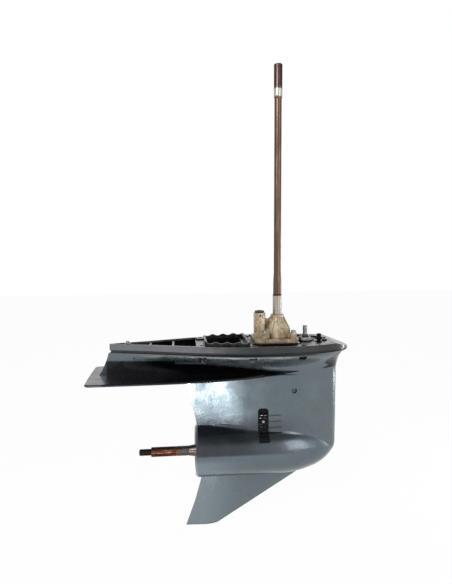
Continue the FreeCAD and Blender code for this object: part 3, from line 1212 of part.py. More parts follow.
def pump_housing():
    """Moulded pump housing: foot, drum, sloping shoulder, ribbed neck and water tube block."""
    drum = turned([(PUMP_BOTTOM, 0), (PUMP_BOTTOM, PUMP_DRUM_R), (PUMP_DRUM_TOP, PUMP_DRUM_R - 1),
                   (PUMP_SHOULDER_TOP, PUMP_NECK_R + 3.5), (PUMP_NECK_TOP - 7, PUMP_NECK_R + 1),
                   (PUMP_NECK_TOP - 7, PUMP_NECK_R + 2), (PUMP_NECK_TOP, PUMP_NECK_R + 2), (PUMP_NECK_TOP, 0)], on_z)
    foot = pump_plan(PUMP_BOTTOM, PUMP_FLANGE_TOP - PUMP_BOTTOM, 0.0)
    rib_points = [Vector(PUMP_NECK_R - 1, -1.6, PUMP_NECK_TOP - 6), Vector(PUMP_NECK_R + 3.5, -1.6, PUMP_NECK_TOP - 6),
                  Vector(PUMP_DRUM_R + 1.5, -1.6, PUMP_DRUM_TOP - 2), Vector(PUMP_DRUM_R + 1.5, -1.6, PUMP_BOTTOM + 2),
                  Vector(PUMP_NECK_R - 1, -1.6, PUMP_BOTTOM + 2)]
    rib = Part.Face(Part.makePolygon(rib_points + rib_points[:1])).extrude(Vector(0, 3.2, 0))
    ribs = spun(rib, 10, on_z, 18)
    bosses = []
    for x, y in pump_bolt_places():
        bosses.append(turned([(PUMP_BOTTOM, 0), (PUMP_BOTTOM, PUMP_BOSS_R + 1), (PUMP_BOSS_TOP, PUMP_BOSS_R),
                              (PUMP_BOSS_TOP, 0)], on_z, x, y))
        web = block(0, math.hypot(x, y), -2, 2, PUMP_BOTTOM, PUMP_BOSS_TOP - 5)
        web.rotate(Vector(0, 0, 0), Vector(0, 0, 1), math.degrees(math.atan2(y, x)))
        bosses.append(web)
    tube_block = rounded_plan(TUBE_BLOCK_REAR, TUBE_BLOCK_FRONT, TUBE_BLOCK_HALF, 5, PUMP_BOTTOM,
                              TUBE_BLOCK_TOP - PUMP_BOTTOM)
    bridge = block(TUBE_BLOCK_FRONT - 3, -PUMP_NECK_R + 2, -4, 4, PUMP_BOTTOM, PUMP_NECK_TOP - 10)
    solid = drum.fuse([foot, tube_block, bridge] + ribs + bosses)
    chamber = rod(on_z, PUMP_BOTTOM - 1, PUMP_BOTTOM + CUP_HEIGHT, CUP_INNER_R + CUP_THICK + 0.02, CUP_OFFSET)
    cuts = [chamber, rod(on_z, 0, PUMP_NECK_TOP + 1, CHROME_R + 1.2)]
    cuts.append(rod(on_z, TUBE_BLOCK_TOP - SOCKET_DEPTH, TUBE_BLOCK_TOP + 1, SOCKET_R, TUBE_X))
    cuts.append(rod(on_z, PUMP_BOTTOM - 1, TUBE_BLOCK_TOP - SOCKET_DEPTH + 1, TUBE_R - 1, TUBE_X))
    for x, y in pump_bolt_places():
        cuts.append(rod(on_z, PUMP_BOTTOM - 1, PUMP_BOSS_TOP + 1, PUMP_BOLT_R + 0.3, x, y))
    side_hole = Part.makeCylinder(2.2, 6, Vector(TUBE_X, -TUBE_BLOCK_HALF - 1, TUBE_BLOCK_TOP - 7), Vector(0, 1, 0))
    cuts.append(side_hole)
    for cut in cuts:
        solid = solid.cut(cut)
    return solid


def impeller():
    """Rubber impeller: moulded hub and curved vanes that stand clear of the cup."""
    low, high = PUMP_BOTTOM + 0.4, PUMP_BOTTOM + CUP_HEIGHT - CUP_THICK - 0.6
    tip_r = CUP_INNER_R - CUP_OFFSET - 0.6
    hub = tube(on_z, low, high, CHROME_R + 0.02, IMPELLER_HUB_R)
    root = Vector(IMPELLER_HUB_R - 1.5, 0, low)
    bend = Vector((IMPELLER_HUB_R + tip_r) / 2, 2.2, low)
    tip = Vector(tip_r - 1.2, 7.0, low)
    wide = 2.4
    near = Part.Arc(root, bend, tip).toShape()
    far = Part.Arc(tip + Vector(-wide * 0.8, wide, 0), bend + Vector(-0.6, wide, 0), root + Vector(0, wide, 0)).toShape()
    ends = [Part.LineSegment(near.Vertexes[-1].Point, far.Vertexes[0].Point).toShape(),
            Part.LineSegment(far.Vertexes[-1].Point, near.Vertexes[0].Point).toShape()]
    vane = Part.Face(Part.Wire([near, ends[0], far, ends[1]])).extrude(Vector(0, 0, high - low))
    whole = hub.fuse(spun(vane, IMPELLER_BLADES, on_z))
    return whole.cut([key_block(0.05), rod(on_z, low - 1, high + 1, CHROME_R + 0.02)])


def water_pump():
    """Gasket, wear plate, housing, cup, impeller and key, bolts and washers, water tube seal."""
    water_hole = rounded_plan(-8, 8, 9, 5, -1, 6).translated(Vector((WATER_REAR + WATER_FRONT) / 2, 0, 0))
    shaft_hole = rod(on_z, -1, 6, CHROME_R + 1.5)
    add("pump_gasket", pump_plan(0, GASKET_THICK, 0.0).cut([water_hole, rod(on_z, -1, 2, SEAL_BORE_R - 8)]))
    add("pump_wear_plate", pump_plan(WEAR_BOTTOM, WEAR_PLATE_THICK, 1.0).cut([water_hole, shaft_hole]))
    add("pump_housing", pump_housing())
    cup_low, cup_high = PUMP_BOTTOM, PUMP_BOTTOM + CUP_HEIGHT
    cup = tube(on_z, cup_low, cup_high, CUP_INNER_R, CUP_INNER_R + CUP_THICK, CUP_OFFSET)
    lid = rod(on_z, cup_high - CUP_THICK, cup_high, CUP_INNER_R + CUP_THICK, CUP_OFFSET)
    add("impeller_cup", cup.fuse(lid).cut(rod(on_z, 0, cup_high + 1, CHROME_R + 1.2)))
    add("impeller", impeller())
    add("impeller_key", key_block(0.0))
    bolts = []
    washers = []
    for x, y in pump_bolt_places():
        head = hexagon(on_z, PUMP_BOSS_TOP + 1.4, PUMP_BOSS_TOP + 5.6, 10.0, x, y)
        bolts.append(head.fuse(rod(on_z, PUMP_BOLT_FOOT, PUMP_BOSS_TOP + 2, PUMP_BOLT_R, x, y)))
        washers.append(tube(on_z, PUMP_BOSS_TOP, PUMP_BOSS_TOP + 1.4, PUMP_BOLT_R + 0.2, 7.0, x, y))
    add("pump_bolts", *bolts)
    add("pump_washers", *washers)
    seal = turned([(TUBE_BLOCK_TOP - SOCKET_DEPTH, TUBE_R), (TUBE_BLOCK_TOP + 4.5, TUBE_R),
                   (TUBE_BLOCK_TOP + 4.5, SOCKET_R + 2.5), (TUBE_BLOCK_TOP, SOCKET_R + 2.5),
                   (TUBE_BLOCK_TOP, SOCKET_R), (TUBE_BLOCK_TOP - SOCKET_DEPTH, SOCKET_R)], on_z, TUBE_X)
    add("water_tube_seal", seal)


# Trim, plugs and pieces on the deck

def exhaust_seal():
    """Rubber seal that stands on the deck round the exhaust opening, with a wavy top."""
    rear, front = DUCT_REAR - 17, DUCT_FRONT + 14
    row = FAIRING[0]
    outer = slab(section(8, row[1] - 14, row[2], row[3] + 28, row[4] - 14, TAIL_HALF), 8 + FLOOR_DROP)
    inner = slab(section(9, row[1] - 20, row[2], row[3] + 40, row[4] - 20, TAIL_HALF), 13 + FLOOR_DROP)
    ring = outer.common(block(rear, front, -DECK_HALF, DECK_HALF, -10, 20))
    ring = ring.cut(inner.common(block(rear + 6, front - 6, -DECK_HALF, DECK_HALF, -10, 20)))
    for x, y in deck_bolt_places():
        ring = ring.cut(rod(on_z, -10, 20, BOLT_BOSS_R + 0.4, x, y))
    dips = []
    for i in range(4):
        dips.append(Part.makeCylinder(16, 3 * DECK_HALF, Vector(rear + 12 + 27 * i, -1.5 * DECK_HALF, 20.5),
                                      Vector(0, 1, 0)))
    return ring.cut(dips)


def oil_plug(x, z, seat):
    """Slotted oil plug with its head on a gasket; returns plug and gasket."""
    side = 1 if seat > 0 else -1
    way = Vector(0, side, 0)
    base = seat + side * 1.0
    head = Part.makeCylinder(PLUG_HEAD_R, 3.6, Vector(x, base, z), way)
    stem = Part.makeCylinder(PLUG_THREAD_R - 0.02, 10, Vector(x, base - side * 10, z), way)
    slot = Part.makeBox(2 * PLUG_HEAD_R + 2, 1.8, 1.6)
    slot.translate(Vector(x - PLUG_HEAD_R - 1, base + side * 2.7 - 0.9, z - 0.8))
    gasket = Part.makeCylinder(PLUG_HEAD_R, 1.0, Vector(x, seat, z), way)
    gasket = gasket.cut(Part.makeCylinder(PLUG_THREAD_R + 0.1, 3, Vector(x, seat - side, z), way))
    return head.fuse(stem).cut(slot), gasket


def inlet_screens():
    """Slotted water inlet screens, one each side, held by a through screw."""
    patch = skin_patch(INLET_REAR + 0.15, INLET_FRONT - 0.15, INLET_BOTTOM + 4.2, INLET_TOP - 0.15,
                       INLET_RECESS - 0.05)
    middle = (INLET_REAR + INLET_FRONT) / 2
    first = INLET_TOP - SCREEN_FIRST
    cuts = []
    for i in range(SCREEN_ROWS):
        low = first - SCREEN_PITCH * i - SCREEN_SLOT / 2
        if i != SCREW_ROW:
            cuts.append(block(INLET_REAR + SCREEN_BORDER, middle - SCREEN_BAR / 2, -60, 60, low, low + SCREEN_SLOT))
            cuts.append(block(middle + SCREEN_BAR / 2, INLET_FRONT - SCREEN_BORDER, -60, 60, low, low + SCREEN_SLOT))
    screw_z = first - SCREEN_PITCH * SCREW_ROW
    cuts.append(Part.makeCylinder(SCREEN_SCREW_R + 0.2, 140, Vector(middle, -70, screw_z), Vector(0, 1, 0)))
    patch = patch.cut(cuts)
    port = patch.common(block(INLET_REAR, INLET_FRONT, 5, 70, INLET_BOTTOM, INLET_TOP))
    starboard = patch.common(block(INLET_REAR, INLET_FRONT, -70, -5, INLET_BOTTOM, INLET_TOP))
    add("inlet_screen_port", *port.Solids)
    add("inlet_screen_starboard", *starboard.Solids)
    face = side_half(LEG[4], LEG_TAIL_HALF, middle) + 0.1
    barrel = Part.makeCylinder(SCREEN_SCREW_R, 2 * face + 1, Vector(middle, -face - 0.5, screw_z), Vector(0, 1, 0))
    head = Part.makeCylinder(SCREEN_HEAD_R, 1.6, Vector(middle, -face - 1.6, screw_z), Vector(0, 1, 0))
    nut = Part.makeCylinder(SCREEN_HEAD_R, 1.6, Vector(middle, face, screw_z), Vector(0, 1, 0))
    add("inlet_screen_screw", barrel.fuse([head, nut]))


def trim_pieces():
    """Pieces fixed to the case from outside."""
    add("exhaust_seal", exhaust_seal())
    level, level_gasket = oil_plug(LEVEL_PLUG_X, LEVEL_PLUG_Z, LEVEL_SEAT_Y)
    drain, drain_gasket = oil_plug(DRAIN_PLUG_X, DRAIN_PLUG_Z, DRAIN_SEAT_Y)
    add("oil_level_plug", level)
    add("oil_drain_plug", drain)
    add("oil_plug_gaskets", level_gasket, drain_gasket)
    dowels = []
    for x in (DOWEL_FRONT_X, DOWEL_REAR_X):
        dowels.append(turned([(-12, 0), (-12, DOWEL_R), (5, DOWEL_R), (6, DOWEL_R - 1), (6, 0)], on_z, x))
    add("dowel_pins", *dowels)
    fitting = turned([(-14, 0), (-14, 4.98), (0, 4.98), (0, 8.5), (4, 8.5), (5.5, 6), (8, 5.0), (10, 6.2), (13.5, 4.6),
                      (13.5, 0)], on_z, HOSE_FITTING_X)
    add("hose_fitting", fitting.cut(rod(on_z, -15, 20, 2.4, HOSE_FITTING_X)))
    plate = rounded_plan(-15, 15, 11, 6, 0, RETAINER_HEIGHT).translated(Vector(SHIFT_X, 0, 0))
    spigot = rod(on_z, -10, JOIN, SHIFT_BORE_R - 0.05, SHIFT_X)
    retainer = plate.fuse(spigot).cut(rod(on_z, -12, 20, SHIFT_R + RUN, SHIFT_X))
    screw_places = ((SHIFT_X + 11.5, 6.0), (SHIFT_X - 11.5, -6.0))
    screws = []
    for x, y in screw_places:
        retainer = retainer.cut(rod(on_z, -12, 20, 2.2, x, y))
        head = hexagon(on_z, RETAINER_HEIGHT, RETAINER_HEIGHT + 3.5, 8.0, x, y)
        screws.append(head.fuse(rod(on_z, 0.2, RETAINER_HEIGHT + 1, 2.1, x, y)))
    add("shift_rod_retainer", retainer)
    add("retainer_screws", *screws)
    boot = turned([(RETAINER_HEIGHT, SHIFT_R + 0.1), (RETAINER_HEIGHT, SHIFT_R + 3.4), (RETAINER_HEIGHT + 3, SHIFT_R + 3.4),
                   (RETAINER_HEIGHT + 7, SHIFT_R + 1.4), (RETAINER_HEIGHT + 7, SHIFT_R + 0.1)], on_z, SHIFT_X)
    add("shift_rod_boot", boot)


def main():
    """Build every piece and write one file for each."""
    add("gearcase_housing", gearcase_housing())
    drive_line()
    add("prop_shaft", prop_shaft())
    clutch_group()
    shift_group()
    forward_group()
    reverse_group()
    carrier_group()
    water_pump()
    inlet_screens()
    trim_pieces()
    os.makedirs("parts", exist_ok=True)
    for name, shape in parts.items():
        shape.exportStep("parts/" + name + ".step")


main()
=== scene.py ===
import json
import math

import bmesh
import bpy
from mathutils import Matrix, Vector


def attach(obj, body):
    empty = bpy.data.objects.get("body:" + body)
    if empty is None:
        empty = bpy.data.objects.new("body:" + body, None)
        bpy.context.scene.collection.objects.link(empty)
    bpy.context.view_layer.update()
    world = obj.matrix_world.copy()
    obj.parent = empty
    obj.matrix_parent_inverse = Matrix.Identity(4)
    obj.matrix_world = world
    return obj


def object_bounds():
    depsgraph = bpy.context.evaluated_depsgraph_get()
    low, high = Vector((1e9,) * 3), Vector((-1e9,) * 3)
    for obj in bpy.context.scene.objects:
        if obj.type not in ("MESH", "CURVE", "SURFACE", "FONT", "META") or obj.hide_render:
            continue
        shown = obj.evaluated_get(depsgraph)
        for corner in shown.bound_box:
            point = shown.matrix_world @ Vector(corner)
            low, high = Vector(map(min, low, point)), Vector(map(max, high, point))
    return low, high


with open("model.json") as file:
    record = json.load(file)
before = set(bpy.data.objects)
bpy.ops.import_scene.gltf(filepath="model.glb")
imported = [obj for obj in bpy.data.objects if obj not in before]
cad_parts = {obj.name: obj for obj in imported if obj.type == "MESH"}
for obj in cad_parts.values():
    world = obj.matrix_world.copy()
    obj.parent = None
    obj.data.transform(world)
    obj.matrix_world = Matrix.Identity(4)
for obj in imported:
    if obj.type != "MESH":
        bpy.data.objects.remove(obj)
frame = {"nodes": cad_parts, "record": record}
cad_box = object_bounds()
nodes = frame["nodes"]

# Places on the model, in metres: +X to the bow, +Y to port, +Z up, from the drive shaft at the deck

PROP_Z = -0.276
DECK_FRONT, DECK_WIDEST_X, DECK_REAR = 0.178, -0.015, -0.411
DECK_WALL = 0.0045
DECK_FLOOR_Z = -0.067
RIM_LOW, RIM_HIGH = -0.0245, 0.001
GROOVE_LOW, GROOVE_HIGH = -0.0205, -0.0145
SLOT_REAR, SLOT_FRONT = -0.2545, -0.1825
SLOT_LOW, SLOT_HIGH = -0.0462, -0.0418
PLATE_TOP = -0.0800
PLATE_TAIL_X = -0.420
PAINTED_SHADE_TIP_X = 0.062
LIP_LOW, LIP_HIGH = -0.0325, -0.0255
SHAFT_SPLINE_LOW, SHAFT_COLLAR_LOW, SHAFT_FOOT_TOP = 0.606, 0.588, 0.116
PROP_SPLINE_FRONT, PROP_THREAD_FRONT = -0.249, -0.3155

# Helical thread on the propeller shaft's end; its profile is in shares of pitch and of depth

THREAD_START, THREAD_END = -0.3445, -0.3185
THREAD_RADIUS, THREAD_PITCH, THREAD_DEPTH = 0.0078, 0.0016, 0.0005
THREAD_PROFILE = ((-0.5, 0.0), (-0.12, 1.0), (0.12, 1.0), (0.5, 0.0))
THREAD_SUNK = 0.0002
POINTS_PER_TURN = 40

# Stage: floor, and how white floor and world look to the camera

FLOOR_HALF, FLOOR_GAP = 6.0, 0.0005
FLOOR_WHITE = 0.965
WORLD_LIGHT, WORLD_WHITE = 0.45, 1.0
WORLD_FADE = {"From Min": 0.42, "From Max": 0.8, "To Min": 1.0, "To Max": 0.2}

# Upper edge of the painted shade on the hollow over the plate: place along X, depth below the deck

PAINTED_SHADE_EDGE = ((-0.430, 0.041), (-0.343, 0.040), (-0.266, 0.038), (-0.228, 0.040),
             (-0.190, 0.045), (-0.152, 0.050), (-0.114, 0.054), (-0.075, 0.059),
             (-0.036, 0.064), (0.003, 0.072), (0.023, 0.077), (0.060, 0.082))

# Camera: the photograph's viewpoint, turned a little down and towards the bow

PHOTO_HEIGHT = 584
FOCAL_PIXELS = 500.0
SENSOR = 36.0
PITCH, YAW, ROLL = math.radians(5.492), math.radians(5.622), math.radians(0.308)
CAMERA_PLACE = Vector((-0.2470, -1.2144, 0.2393))


def make_camera():
    """Camera with the photograph's direction, distance and angle of view."""
    data = bpy.data.cameras.new("camera")
    data.sensor_width = SENSOR
    data.lens = SENSOR * FOCAL_PIXELS / PHOTO_HEIGHT
    data.clip_start = 0.01
    level_part = math.cos(PITCH)
    forward = Vector((math.sin(YAW) * level_part, math.cos(YAW) * level_part, -math.sin(PITCH)))
    level = Vector((math.cos(YAW), -math.sin(YAW), 0.0))
    upright = level.cross(forward)
    right = math.cos(ROLL) * level - math.sin(ROLL) * upright
    up = math.sin(ROLL) * level + math.cos(ROLL) * upright
    camera = bpy.data.objects.new("camera", data)
    turn = Matrix((right, up, -forward)).transposed()
    camera.matrix_world = Matrix.Translation(CAMERA_PLACE) @ turn.to_4x4()
    bpy.context.scene.collection.objects.link(camera)
    bpy.context.scene.camera = camera


# Materials


class Surface:
    """One node material, with short ways to make and join its nodes."""

    def __init__(self, name, colour, metallic=0.0, roughness=0.5, **inputs):
        self.material = bpy.data.materials.new(name)
        self.material.use_nodes = True
        self.tree = self.material.node_tree
        self.shader = self.tree.nodes["Principled BSDF"]
        self.place = self.tree.nodes.new("ShaderNodeTexCoord").outputs["Object"]
        self.colour = self.solid(colour)
        self.shader.inputs["Metallic"].default_value = metallic
        self.shader.inputs["Roughness"].default_value = roughness
        for key, value in inputs.items():
            socket = key.replace("_", " ").title().replace("Ior", "IOR")
            self.shader.inputs[socket].default_value = value
        self.normal = None

    def add(self, kind, inputs=(), **settings):
        """A new node with its settings, its inputs fed with numbers or other nodes."""
        made = self.tree.nodes.new("ShaderNode" + kind)
        for key, value in settings.items():
            setattr(made, key, value)
        for key, value in dict(inputs).items():
            self.feed(made.inputs[key], value)
        return made

    def feed(self, socket, value):
        """Join another node's output to an input, or set the input to a constant."""
        if isinstance(value, bpy.types.NodeSocket):
            self.tree.links.new(value, socket)
        else:
            socket.default_value = value

    def solid(self, colour):
        """A colour with full alpha."""
        return (*colour, 1.0)

    def math(self, operation, a, b=0.0):
        return self.add("Math", {0: a, 1: b}, operation=operation).outputs[0]

    def product(self, *factors):
        result = factors[0]
        for factor in factors[1:]:
            result = self.math("MULTIPLY", result, factor)
        return result

    def axis(self, name):
        """One coordinate of the place on the piece."""
        return self.add("SeparateXYZ", {0: self.place}).outputs[name]

    def noise(self, scale, detail=3.0, rough=0.55, stretch=(1, 1, 1), warp=0.0):
        """Cloudy noise, stretched along an axis where its scale there is small."""
        place = self.add("Mapping", {"Vector": self.place, "Scale": stretch}).outputs[0]
        sockets = {"Vector": place, "Scale": scale, "Detail": detail, "Roughness": rough, "Distortion": warp}
        return self.add("TexNoise", sockets).outputs[0]

    def spots(self, scale):
        return self.add("TexVoronoi", {"Vector": self.place, "Scale": scale}).outputs["Distance"]

    def ramp(self, value, low, high, to_low=0.0, to_high=1.0):
        """A smooth step from one number to another as a value goes from low to high."""
        sockets = {"Value": value, "From Min": low, "From Max": high, "To Min": to_low, "To Max": to_high}
        return self.add("MapRange", sockets, interpolation_type="SMOOTHSTEP").outputs[0]

    def band(self, value, low, high, soft):
        """1 between two limits, with soft ends."""
        rise = self.ramp(value, low - soft, low + soft)
        fall = self.ramp(value, high - soft, high + soft, 1.0, 0.0)
        return self.product(rise, fall)

    def curve(self, value, pairs, tallest):
        """A smooth line through pairs of numbers, read at a value."""
        low, high = pairs[0][0], pairs[-1][0]
        share = self.math("DIVIDE", self.math("SUBTRACT", value, low), high - low)
        made = self.add("FloatCurve", {"Value": share})
        line = made.mapping.curves[0]
        line.points[0].location = (0.0, pairs[0][1] / tallest)
        line.points[1].location = (1.0, pairs[-1][1] / tallest)
        for place, height in pairs[1:-1]:
            line.points.new((place - low) / (high - low), height / tallest)
        made.mapping.update()
        return self.math("MULTIPLY", made.outputs[0], tallest)

    def tint(self, factor, colour, amount=1.0):
        """Lay a colour over what is there by a factor, and by an amount that scales it."""
        if amount != 1.0:
            factor = self.math("MULTIPLY", factor, amount)
        sockets = {0: factor, 6: self.colour, 7: self.solid(colour)}
        self.colour = self.add("Mix", sockets, data_type="RGBA").outputs[2]

    def rough(self, value, low, high, to_low, to_high):
        """Roughness that follows a value from one number to another."""
        self.feed(self.shader.inputs["Roughness"], self.ramp(value, low, high, to_low, to_high))

    def bump(self, value, distance, strength=1.0):
        """Raise the surface by a height in metres where the value is 1."""
        made = self.add("Bump", {"Height": value, "Distance": distance, "Strength": strength})
        if self.normal is not None:
            self.feed(made.inputs["Normal"], self.normal)
        self.normal = made.outputs[0]

    def crevice_shade(self, distance, colour, amount=0.8):
        """Painted shade where the surface is sheltered."""
        open_sky = self.add("AmbientOcclusion", {"Distance": distance}, samples=8).outputs["AO"]
        self.tint(self.ramp(open_sky, 0.75, 0.25), colour, amount)

    def done(self):
        """Join colour and bumps to the shader, and give the material back."""
        self.feed(self.shader.inputs["Base Color"], self.colour)
        if self.normal is not None:
            self.feed(self.shader.inputs["Normal"], self.normal)
        return self.material


def foil(share):
    """Half thickness of a streamlined section at a share of its length, with a peak near 1."""
    terms = 0.2969 * math.sqrt(share) - 0.126 * share - 0.3516 * share ** 2
    return (terms + 0.2843 * share ** 3 - 0.1015 * share ** 4) / 0.1000


def plan_share(x):
    """Half width of the deck's outline at a place along it, as a share of the widest."""
    if x > DECK_WIDEST_X:
        return foil(0.3 * (DECK_FRONT - x) / (DECK_FRONT - DECK_WIDEST_X))
    t = (DECK_WIDEST_X - x) / (DECK_WIDEST_X - DECK_REAR)
    return foil(0.3 + 0.7 * t) * (1 - t ** 6) + 0.034 * t ** 6


def inside_deck(s, x, y, z):
    """1 on the walls and floors inside the deck's rim, 0 on the outside of the case."""
    steps = 14
    places = [DECK_REAR + (DECK_FRONT - DECK_REAR) * i / steps for i in range(steps + 1)]
    outline = [(place, max(0.0, plan_share(place))) for place in places]
    heights = {"Value": z, "From Min": -0.060, "From Max": -0.022, "To Min": 0.048, "To Max": 0.0845}
    widest = s.add("MapRange", heights).outputs[0]
    limit = s.math("SUBTRACT", s.math("MULTIPLY", s.curve(x, outline, 1.0), widest), DECK_WALL)
    beyond = s.math("SUBTRACT", s.math("ABSOLUTE", y), limit)
    above_floor = s.ramp(z, DECK_FLOOR_Z - 0.001, DECK_FLOOR_Z + 0.001)
    return s.product(s.ramp(beyond, 0.0006, -0.0006), above_floor)


def tint_rim(s, x, z):
    """Rim: lighter at the stern, with painted shade darkening it towards the bow and a painted shadow in its
    groove.
    """
    rim = s.band(z, RIM_LOW, RIM_HIGH, 0.0006)
    s.tint(rim, (0.150, 0.155, 0.168), 0.8)
    # painted shade: the rim darker towards the bow
    s.tint(s.product(rim, s.ramp(x, -0.27, -0.08)), (0.022, 0.023, 0.026), 0.9)
    # painted shadow in the groove under the rim band
    s.tint(s.band(z, GROOVE_LOW, GROOVE_HIGH, 0.0005), (0.014, 0.015, 0.017), 0.9)


def tint_painted_shade_and_light(s, x, z):
    """Painted shade, near black over the plate and dark grey on the top of the torpedo, and painted light
    low at the stern.
    """
    depth = s.math("SUBTRACT", s.math("MULTIPLY", z, -1.0), s.curve(x, PAINTED_SHADE_EDGE, 0.1))
    below_edge = s.math("ADD", depth, s.math("MULTIPLY", s.noise(45, 3), 0.002))
    on_top = s.ramp(z, PLATE_TOP - 0.0015, PLATE_TOP)
    to_tip = s.ramp(x, PAINTED_SHADE_TIP_X, PAINTED_SHADE_TIP_X - 0.022)
    tail = s.ramp(x, PLATE_TAIL_X + 0.004, PLATE_TAIL_X - 0.004, 1.0, 0.55)
    # painted shade: the plate's top and the hollow over it near black, a dark reflection
    black = s.product(s.ramp(below_edge, -0.001, 0.0035), on_top, to_tip, tail)
    s.tint(black, (0.004, 0.004, 0.006), 0.98)
    # painted shade: the upper half of the torpedo darker
    grey = s.product(s.ramp(z, -0.272, -0.265), s.ramp(z, -0.170, -0.215), s.ramp(x, 0.11, -0.12))
    s.tint(grey, (0.022, 0.024, 0.032), 0.85)
    # painted light: the torpedo and skeg lighter low at the stern
    stern_light = s.product(s.ramp(x, -0.07, -0.20), s.ramp(z, -0.272, -0.290))
    s.tint(stern_light, (0.205, 0.245, 0.270), 0.8)
    return below_edge


def tint_deck(s, x, y, z):
    """Near-black walls and floors inside the rim, a black joint face, and a painted shadow in the side slot.
    """
    # painted shadow: the slot in the side wall near black
    slot = s.product(s.band(x, SLOT_REAR, SLOT_FRONT, 0.0004), s.band(z, SLOT_LOW, SLOT_HIGH, 0.0003))
    s.tint(slot, (0.003, 0.003, 0.004))
    s.tint(inside_deck(s, x, y, z), (0.008, 0.008, 0.009))
    facing_up = s.add("SeparateXYZ", {0: s.add("NewGeometry").outputs["Normal"]}).outputs["Z"]
    joint_face = s.product(s.ramp(z, -0.0014, -0.0006), s.ramp(facing_up, 0.9, 0.97))
    s.tint(joint_face, (0.013, 0.013, 0.014), 0.95)


def tint_painted_highlights(s, x, z, below_edge):
    """Painted highlight on the lip under the rim and on the swell below it."""
    lip = s.product(s.band(z, LIP_LOW, LIP_HIGH, 0.001), s.band(x, -0.31, 0.02, 0.03))
    under_rim = s.product(s.ramp(z, -0.024, -0.030), s.ramp(below_edge, 0.000, -0.006))
    swell = s.product(s.band(x, -0.20, -0.03, 0.03), under_rim)
    patchy = s.ramp(s.noise(60, 4, 0.6, (0.4, 1, 1)), 0.3, 0.6)
    # painted highlight, in patches
    s.tint(s.product(s.math("MAXIMUM", lip, swell), patchy), (0.40, 0.43, 0.46), 0.75)


def case_paint():
    """Blue-grey metallic paint on the cast case, with dust, painted shade and painted highlights."""
    s = Surface("case_paint", (0.108, 0.137, 0.155), metallic=0.86, roughness=0.28,
                coat_weight=0.35, coat_roughness=0.05)
    s.tint(s.ramp(s.noise(8, 4), 0.35, 0.7), (0.128, 0.156, 0.171))
    s.tint(s.ramp(s.noise(38, 5, 0.7, (1, 1, 0.5)), 0.52, 0.8), (0.080, 0.105, 0.120), 0.4)
    x, y, z = s.axis("X"), s.axis("Y"), s.axis("Z")
    # warm dust low on the leading edge
    leading_edge = s.product(s.band(z, -0.235, -0.165, 0.02), s.ramp(x, 0.03, 0.10))
    dust = s.product(leading_edge, s.ramp(s.noise(26, 4), 0.4, 0.7))
    s.tint(dust, (0.13, 0.12, 0.09), 0.35)
    tint_rim(s, x, z)
    # painted shade over the plate and on the torpedo, painted light low at the stern
    below_edge = tint_painted_shade_and_light(s, x, z)
    tint_deck(s, x, y, z)
    # painted shade in sheltered corners and hollows
    s.crevice_shade(0.012, (0.012, 0.012, 0.013), 0.8)
    # painted highlights on the lip and swell under the rim
    tint_painted_highlights(s, x, z, below_edge)
    s.rough(s.noise(30, 4), 0.3, 0.75, 0.20, 0.36)
    s.bump(s.noise(420, 2), 0.00005)
    s.bump(s.noise(24, 3), 0.0005, 0.7)
    s.bump(s.noise(110, 5, 0.65), 0.00022)
    return s.done()


def black_plastic():
    s = Surface("black_plastic", (0.005, 0.005, 0.006), roughness=0.7, specular_ior_level=0.08)
    s.tint(s.ramp(s.spots(260), 0.14, 0.04), (0.16, 0.14, 0.14))
    s.bump(s.noise(700, 3), 0.0001)
    return s.done()


def stainless():
    s = Surface("stainless", (0.36, 0.35, 0.335), metallic=1.0, roughness=0.25)
    s.tint(s.ramp(s.noise(160, 4), 0.5, 0.75), (0.30, 0.24, 0.17), 0.5)
    s.rough(s.noise(260, 3), 0.3, 0.7, 0.16, 0.4)
    s.bump(s.noise(900, 2), 0.00003)
    return s.done()


def black_rubber():
    s = Surface("black_rubber", (0.006, 0.006, 0.007), roughness=0.25, specular_ior_level=0.4)
    s.tint(s.ramp(s.noise(120, 4), 0.5, 0.7), (0.03, 0.026, 0.026), 0.4)
    s.rough(s.noise(90, 3), 0.3, 0.7, 0.15, 0.5)
    s.bump(s.noise(160, 3), 0.0006)
    return s.done()


def gasket():
    s = Surface("gasket", (0.06, 0.052, 0.045), roughness=0.8)
    s.tint(s.ramp(s.noise(900, 2), 0.4, 0.6), (0.10, 0.085, 0.07))
    s.bump(s.noise(1200, 2), 0.00008)
    return s.done()


def pump_plastic():
    """Ivory nylon with brown oil stains, darker brown low down, and painted shade in the corners."""
    s = Surface("pump_plastic", (0.50, 0.43, 0.31), roughness=0.36)
    s.tint(s.ramp(s.noise(34, 5, 0.65, warp=0.4), 0.42, 0.6), (0.33, 0.24, 0.13))
    s.tint(s.ramp(s.noise(75, 5, 0.7, warp=0.8), 0.5, 0.66), (0.12, 0.070, 0.032), 0.85)
    s.tint(s.ramp(s.noise(55, 4, 0.6), 0.6, 0.72), (0.80, 0.76, 0.62), 0.8)
    s.tint(s.ramp(s.axis("Z"), 0.016, 0.003), (0.12, 0.075, 0.035), 0.55)
    # painted shade in sheltered corners and hollows
    s.crevice_shade(0.008, (0.06, 0.035, 0.018), 0.85)
    s.rough(s.noise(80, 3), 0.35, 0.7, 0.25, 0.5)
    s.bump(s.noise(350, 3), 0.0001)
    return s.done()


def bare_aluminium():
    s = Surface("bare_aluminium", (0.42, 0.42, 0.42), metallic=0.9, roughness=0.45)
    s.tint(s.ramp(s.noise(90, 4), 0.45, 0.7), (0.24, 0.24, 0.235))
    # painted shade in sheltered corners and hollows
    s.crevice_shade(0.006, (0.03, 0.028, 0.025), 0.8)
    s.bump(s.noise(520, 3), 0.00012)
    return s.done()


